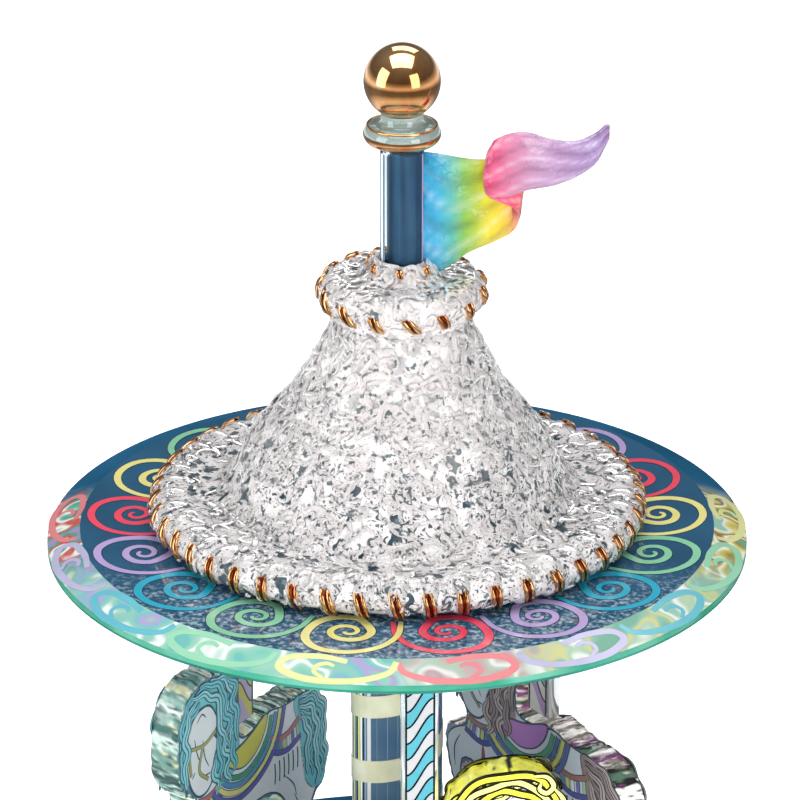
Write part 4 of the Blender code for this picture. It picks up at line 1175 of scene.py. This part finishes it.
LOOKS = {
    "left": {
        "hair": "74c4d0", "hair_lit": "94d4dc", "ink": "3c5f6b", "body": "dce4e8", "saddle": "c6c45c",
        "stripes": ("4f9a78", "5d94bc", "d8d488", "6866ac"),
        "straps": ("b4787c", "6660ac"), "bridle": "a8a868",
        "border": 0.32,
    },
    "right": {
        "hair": "998682", "hair_lit": "b9a8a2", "ink": "46505e", "body": "ccd5dd", "saddle": "b17ac2",
        "stripes": ("57a07c", "55779c", "c9c976", "5d6fa4"),
        "straps": ("a0766e", "5a5c9c"), "bridle": "8a8c78",
        "border": 0.32,
    },
    "front": {
        "hair": "ece63e", "hair_lit": "f8f68a", "ink": "16160e", "body": "eceef2", "saddle": "c85a84",
        "stripes": ("58b894", "4f9fd0", "f0e070", "8c6cc0"),
        "straps": ("d06a78", "7a60b8"), "bridle": "c8b040",
        "border": 0.5,
    },
}


def wavy(points, rows, swing, length):
    """A path that sways from side to side, less at its ends."""
    path = smooth_path(points, rows)
    along = unit(np.gradient(path, axis=0))
    across = np.stack([-along[:, 1], along[:, 0]], -1)
    far = np.concatenate([[0], np.cumsum(np.linalg.norm(np.diff(path, axis=0), axis=1))])
    share = np.linspace(0, 1, rows)
    sway = swing * np.sin(2 * pi * far / length + path[0, 0]) * np.sin(pi * share) ** 0.5
    return path + across * sway[:, None]


def horse_print(side):
    """The picture on a horse panel: the animal, then its hair, saddle, blanket and straps."""
    look = LOOKS[side]
    p = Print()
    ink, border, body = look["ink"], look["border"], look["body"]
    hair, hair_lit = look["hair"], look["hair_lit"]
    head_lift = 3.2 if side == "front" else 0.0
    head = np.array(HEAD) + [0, head_lift]
    p.patch(BODY, body, 1, ink, 0.9)
    for mass in (HAIR_MASS, TAIL_MASS):
        p.patch(mass, hair, 2, ink, 0.8)
    p.patch(head, body, 3, ink, 0.9)
    p.line(head, 0.35, ink, 5, rows=90, closed=True)
    for line in FACE_LINES:
        p.line(np.array(line) + [0, head_lift], 0.38, ink, 5, taper=0.6)
    for line in LEG_LINES:
        p.line(line, 0.38, ink, 3, taper=0.6)
    for line in BRIDLE:
        p.outlined(np.array(line) + [0, head_lift / 2], 0.7, look["bridle"], 6, ink, 0.16)
    for path, tone in zip(RUMP_STRAPS + CHEST_STRAPS, look["straps"] * 2):
        p.outlined(path, 1.2, tone, 5, ink, 0.2)
    for upper, lower in (RUMP_STRAPS, CHEST_STRAPS):
        add_beads(p, upper, lower, ink)
    for i in range(6):
        across = -9.5 - 2.0 * i
        p.line(((across, 24.4), (across - 0.2, 21.6), (across, 19)), 0.5, ink, 3, rows=6)
    p.line(((17.8, 24), (17.6, 21.4), (17.9, 18.8)), 1.3, "8c5f58", 4, rows=8, taper=0.7)
    middle = np.array([3.0, 38.0])
    for step, tone in enumerate(look["stripes"]):
        grown = [tuple(middle + (np.array(q) - middle) * (1 + 0.17 * step)) for q in BLANKET]
        grown = [(a, min(b, 37.6)) for a, b in grown]
        p.outlined(grown, 1.15, tone, 4 + step, ink, 0.2, rows=40)
    p.patch(SADDLE, look["saddle"], 9, ink, 0.8, rows=70)
    for number, lock in enumerate(TAIL + MANE):
        path = wavy(lock, 40, 0.55, 6.5)
        layer = 8 + number % 3 * 2
        p.outlined(path, 1.9, hair if number % 2 else hair_lit, layer, ink, border, rows=60, taper=0.7)
        p.line(path, 0.3, ink, layer + 2, rows=60, taper=0.6)
    if side == "front":
        add_crest(p, hair, hair_lit, ink)
    return p


def add_crest(p, hair, hair_lit, ink):
    """Bold bands of hair over the crown of the head, each in a heavy outline."""
    bow, centre = np.array(CREST_ARC), np.array(CREST_CENTRE)
    for number, share in enumerate((0.72, 0.86, 1.0)):
        path = wavy(centre + (bow - centre) * share, 80, 0.35, 9.0 + 2 * number)
        p.outlined(path, 1.15, hair_lit if number % 2 else hair, 16 + 2 * number, ink, 0.5, rows=110,
                   taper=0.5)
    for curl in CURLS:
        p.outlined(curl, 1.0, hair_lit, 22, ink, 0.45, rows=40, taper=0.6)


def add_beads(p, upper, lower, ink):
    """Coloured bars that hang between two straps."""
    top, low = smooth_path(upper, 29), smooth_path(lower, 29)
    for number, tone in enumerate(BEADS):
        at = 2 + 4 * number
        ends = np.stack([top[at], low[at]])
        p.outlined(ends + (ends[::-1] - ends) * 0.18, 1.0, tone, 4, ink, 0.18, rows=4)


# The colours a panel's rim shows, in random runs along it: painted reflections of its print seen through the
# glass's edge.
RIM_TONES = {
    "left": ("5f7f76", "22403e", "c4d0c8", "8fb0a4", "3c5c58", "a9bdb4", "1c2c2c", "b8b894", "6f9088"),
    "right": ("5a4238", "2a2624", "d8d4cc", "8a7a70", "1c1a1a", "c9c2b6", "4d6b58", "7a3f76", "ecebe6"),
    "front": ("f6f050", "f8f470", "f2ea48", "17170f", "f6f050", "f8f488", "f4ee58", "f0e848",
              "f8f470", "f6f050"),
}
PANEL_THICK = PANEL_OUTER_R - PANEL_INNER_R
# A panel's rim, from its outer face to its inner one: how far it stands out, and how deep that is
RIM_LEVELS = (
    (-0.5, 0.0), (-0.1, -0.25), (0.1, -1.2), (-0.05, -2.4), (0.14, -3.7), (0.0, -5.2),
    (-0.1, 0.3 - PANEL_THICK),
    (-0.5, -PANEL_THICK),
)


def glass_panel(name, side, foot, rows=480):
    """Thick cut glass with an uneven, chipped rim, and clear faces."""
    ring = smooth_path(HORSE_OUTLINE, rows, closed=True)
    along = unit(np.roll(ring, -1, 0) - np.roll(ring, 1, 0))
    outward = np.stack([along[:, 1], -along[:, 0]], -1)
    after = np.roll(ring, -1, 0)
    if (ring[:, 0] * after[:, 1] - ring[:, 1] * after[:, 0]).sum() < 0:
        outward = -outward
    far = np.cumsum(np.linalg.norm(after - ring, axis=1))
    chips = 0.30 * np.abs(np.sin(pi * far / 3.7)) + 0.16 * np.sin(far * 1.9 + 1)
    chips += RNG.uniform(-0.1, 0.1, rows)
    place = placed(side, foot, PANEL_OUTER_R, 1)
    points, tints = [], []
    # the rim's painted reflections of the print
    tones = np.array([srgb(tone) for tone in RIM_TONES[side]])
    runs = np.repeat(RNG.integers(len(tones), size=rows), RNG.integers(1, 5, size=rows))[:rows]
    for number, (grow, depth) in enumerate(RIM_LEVELS):
        wave = chips * (0.6 + 0.4 * np.sin(number * 1.7 + far * 0.8))
        spots = ring + outward * (grow + wave - 0.25)[:, None]
        points.append(place(np.column_stack([spots, np.full(rows, depth)])))
        stray = RNG.random(rows) < 0.28
        tints.append(tones[np.where(stray, RNG.integers(len(tones), size=rows), np.roll(runs, number // 3))])
    panel = tubes(name, np.concatenate(points), 1, len(RIM_LEVELS), rows, [HORSE_GLASS, GLOWING_RIM_GLASS])
    set_tint(panel, np.concatenate(tints))
    set_finishes(panel, [(0, (len(RIM_LEVELS) - 1) * rows, 1)])
    settle(panel, f"horse_{side}")


def make_horse(side):
    node = f"horse_{side}"
    foot = low_high(node)[0][2]
    glass_panel(f"{node}_glass", side, foot)
    picture = horse_print(side)
    for face, radius, way in (("inner", PANEL_INNER_R, -1), ("outer", PANEL_OUTER_R, 1)):
        picture.build(f"{node}_print_{face}", placed(side, foot, radius, way), "horse_glass", node)
    for part in ("upper", "lower"):
        make_strip(side, part)


# --- poles and column ---

STRIPES = {
    "front": ("4c9dab", "afb1b4", "10161a"),
    "left": ("c9c670", "b9b2d0", "56605c"),
    "right": ("b094be", "d0ccc4", "20242a"),
}
STRIPE_PITCH, STRIPE_RISE, STRIP_WIDTH, PRINT_WIDTH, STRIP_THICK = 7.5, 7.0, 7.9, 6.0, 3.4
STRIP_RIM = ((0.35, 0.5), (0, 0.4), (0, -0.4),
(0.35, -0.5))  # inset and share of the thickness, front to back


def make_strip(side, part):
    """One glass strip of a pole, with a spiral painted on both its faces."""
    node = f"pole_{side}_{part}"
    low, high = low_high(node)
    foot, length = low[2], high[2] - low[2]
    p = Print()
    first, second, ink = STRIPES[side]
    half, gap = PRINT_WIDTH / 2, 0.2
    ground = [(-half, gap), (half, gap), (half, length - gap), (-half, length - gap)]
    p.fill(ground, second, 1, smooth=False)
    share = np.linspace(0, 1, 9)
    bow = STRIPE_RISE * (0.5 - 0.5 * np.cos(pi * share))
    across = half * (2 * share - 1)
    for k in range(-1, int(length / STRIPE_PITCH) + 1):
        edge = STRIPE_PITCH * k + bow
        upper = np.clip(edge + STRIPE_PITCH / 2, gap, length - gap)
        lower = np.clip(edge, gap, length - gap)
        if (upper - lower).min() > 0.3:
            band = list(zip(across, lower)) + list(zip(across[::-1], upper[::-1]))
            p.fill(band, first, 2, smooth=False)
        for line in (edge, edge + STRIPE_PITCH / 2):
            if line.min() > gap and line.max() < length - gap:
                p.line(list(zip(across, line)), 0.42, ink, 3, rows=12)
    for x in (-half, half):
        p.line(((x, gap), (x, length - gap)), 0.42, ink, 3, rows=2)
    middle = (PANEL_INNER_R + PANEL_OUTER_R) / 2
    for face, way in (("inner", -1), ("outer", 1)):
        place = placed(side, foot, middle + way * STRIP_THICK / 2, way)
        p.build(f"{node}_print_{face}", place, "pole_glass", node)
    side_x = STRIP_WIDTH / 2
    outline = np.array([(-side_x, 0), (side_x, 0), (side_x, length), (-side_x, length)])
    place = placed(side, foot, middle, 1)
    rings = []
    for inset, depth in STRIP_RIM:
        ring = outline * [1 - 2 * inset / STRIP_WIDTH, 1]
        rings.append(place(np.column_stack([ring, np.full(4, depth * STRIP_THICK)])))
    strip = tubes(f"{node}_glass", np.concatenate(rings), 1, 4, 4, [STRIP_GLASS], smooth=False)
    settle(strip, node)


# The column's drawn lines, in each quarter: angle, half width and tone
COLUMN_LINES = (
    (2, 0.35, "e6e9e4"), (7, 0.2, "20262c"), (11, 0.25, "d6d884"), (16, 0.25, "5f86a8"), (21, 0.2, "20262c"),
    (25, 0.3, "c9d078"), (30, 0.25, "eceee8"), (34, 0.18, "20262c"), (38, 0.25, "7f98ac"),
    (44, 0.5, "c4c8c6"),
    (56, 0.1, "5d7890"), (70, 0.1, "64809a"), (83, 0.1, "5d7890"),
)


def make_column():
    """A glass tube with cream bands wound round it and drawn lines."""
    low, high = low_high("centre_column")
    radius, foot, top = high[0], low[2], high[2]
    inner = radius - 2.2
    tube = [(radius, top), (radius, foot), (inner, foot), (inner, top)]
    column = lathe("column_tube", tube, [COLUMN_GLASS], 96, close=True)
    settle(column, "centre_column")
    pitch, half = 16.0, 2.6
    first_band = top - 3.2  # centre of the top band at the front
    turns = (top - foot - 2 * half - 0.4) / pitch
    height = foot + half + 0.2 + np.linspace(0, 1, 420) * turns * pitch
    angle = 2 * pi * (height - first_band) / pitch - pi / 2
    band_r = radius + 0.12
    path = np.stack([band_r * np.cos(angle), band_r * np.sin(angle), height], -1)
    out = np.stack([np.cos(angle), np.sin(angle), 0 * angle], -1)
    band = sweep("column_bands", path[None], out[None], half, 0.1, 4, [CREAM_GLASS])
    settle(band, "centre_column")
    quarters = (-172, -82, 8, 98)
    lines = [(quarter + turn, width, tone) for quarter in quarters for turn, width, tone in COLUMN_LINES]
    tube_lines("column_lines", lines, radius + 0.04, foot, top, 0.3, 0.05, "centre_column")


# --- base and clockwork ---


def make_base():
    """The lacquered drum, with two gold lines round it and gold scrolls between them."""
    low, high = low_high("base_housing")
    wall_r, top, lip_r, foot = 64.0, high[2], high[0], low[2]
    turns = np.linspace(0, pi / 2, 9)
    shoulder = [(wall_r - 6 + 6 * sin(t), top - 6 + 6 * cos(t)) for t in turns]
    bead = [(lip_r - 1.8 + 1.8 * cos(t), foot + 2.4 + 2.4 * sin(t)) for t in np.linspace(pi / 2, -pi / 2, 13)]
    outer = [(4.3, top), *shoulder, (wall_r, foot + 7), (wall_r + 0.6, foot + 5.6), *bead]
    inner = [(61.0, foot), (61.0, foot + 1), (62.5, foot + 1), (62.5, top - 6), (58.5, top - 1.2),
    (4.3, top - 1.2)]
    drum = lathe("base_drum", outer + inner, [LACQUER], 160, close=True, sharp=50)
    settle(drum, "base_housing", "base")
    near, far = wall_r + 0.02, wall_r + 0.16
    for number, height in enumerate((12.0, 33.6), start=1):
        ring = [(near, height + 0.5), (far, height + 0.5), (far, height - 0.5), (near, height - 0.5)]
        line = lathe(f"base_gold_line_{number}", ring, [GOLD_PAINT], 160, close=True)
        settle(line, body="base")
    scroll = scroll_line(60) * [0.98, -0.86]
    count, print_r, middle = 18, wall_r + 0.06, 22.6
    paths = []
    for i in range(count):
        hand = 1 if i % 2 else -1
        angle = 2 * pi * (i + 0.5) / count + hand * scroll[:, 0] / wall_r
        paths.append(np.stack([print_r * np.cos(angle), print_r * np.sin(angle), middle + scroll[:, 1]], -1))
    paths = np.array(paths)
    scrolls = sweep("base_scrolls", paths, paths * [1, 1, 0], 0.55, 0.06, 4, [GOLD_PAINT])
    settle(scrolls, body="base")


def dress_cad():
    """Gives each CAD node that is still shown a worked finish, by the first of these words in its name."""
    steel = ("frame_screw", "click_", "ratchet", "arbor", "pinion", "output_spindle")
    finishes = {
        "foot_": RUBBER, "bottom_pan": LACQUER, "turntable_hub": ALUMINIUM, "mainspring": BLUED,
        **dict.fromkeys(steel, STEEL), "": BRASS,
    }
    for name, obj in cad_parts.items():
        if obj.hide_render:
            continue
        obj.data.materials.clear()
        obj.data.materials.append(next(finish for word, finish in finishes.items() if word in name))


make_view()
make_studio()
make_lace()
bevelled_disc("roof_disc_glass", "roof_disc", ROOF_UNDER, ROOF_TOP)
bevelled_disc("floor_disc_glass", "floor_disc", FLOOR_LOW[2], FLOOR_TOP)
make_scrolls()
make_finial()
make_rod()
make_pennant()
make_column()
for side_name in PANEL_ANGLES:
    make_horse(side_name)
make_base()
dress_cad()
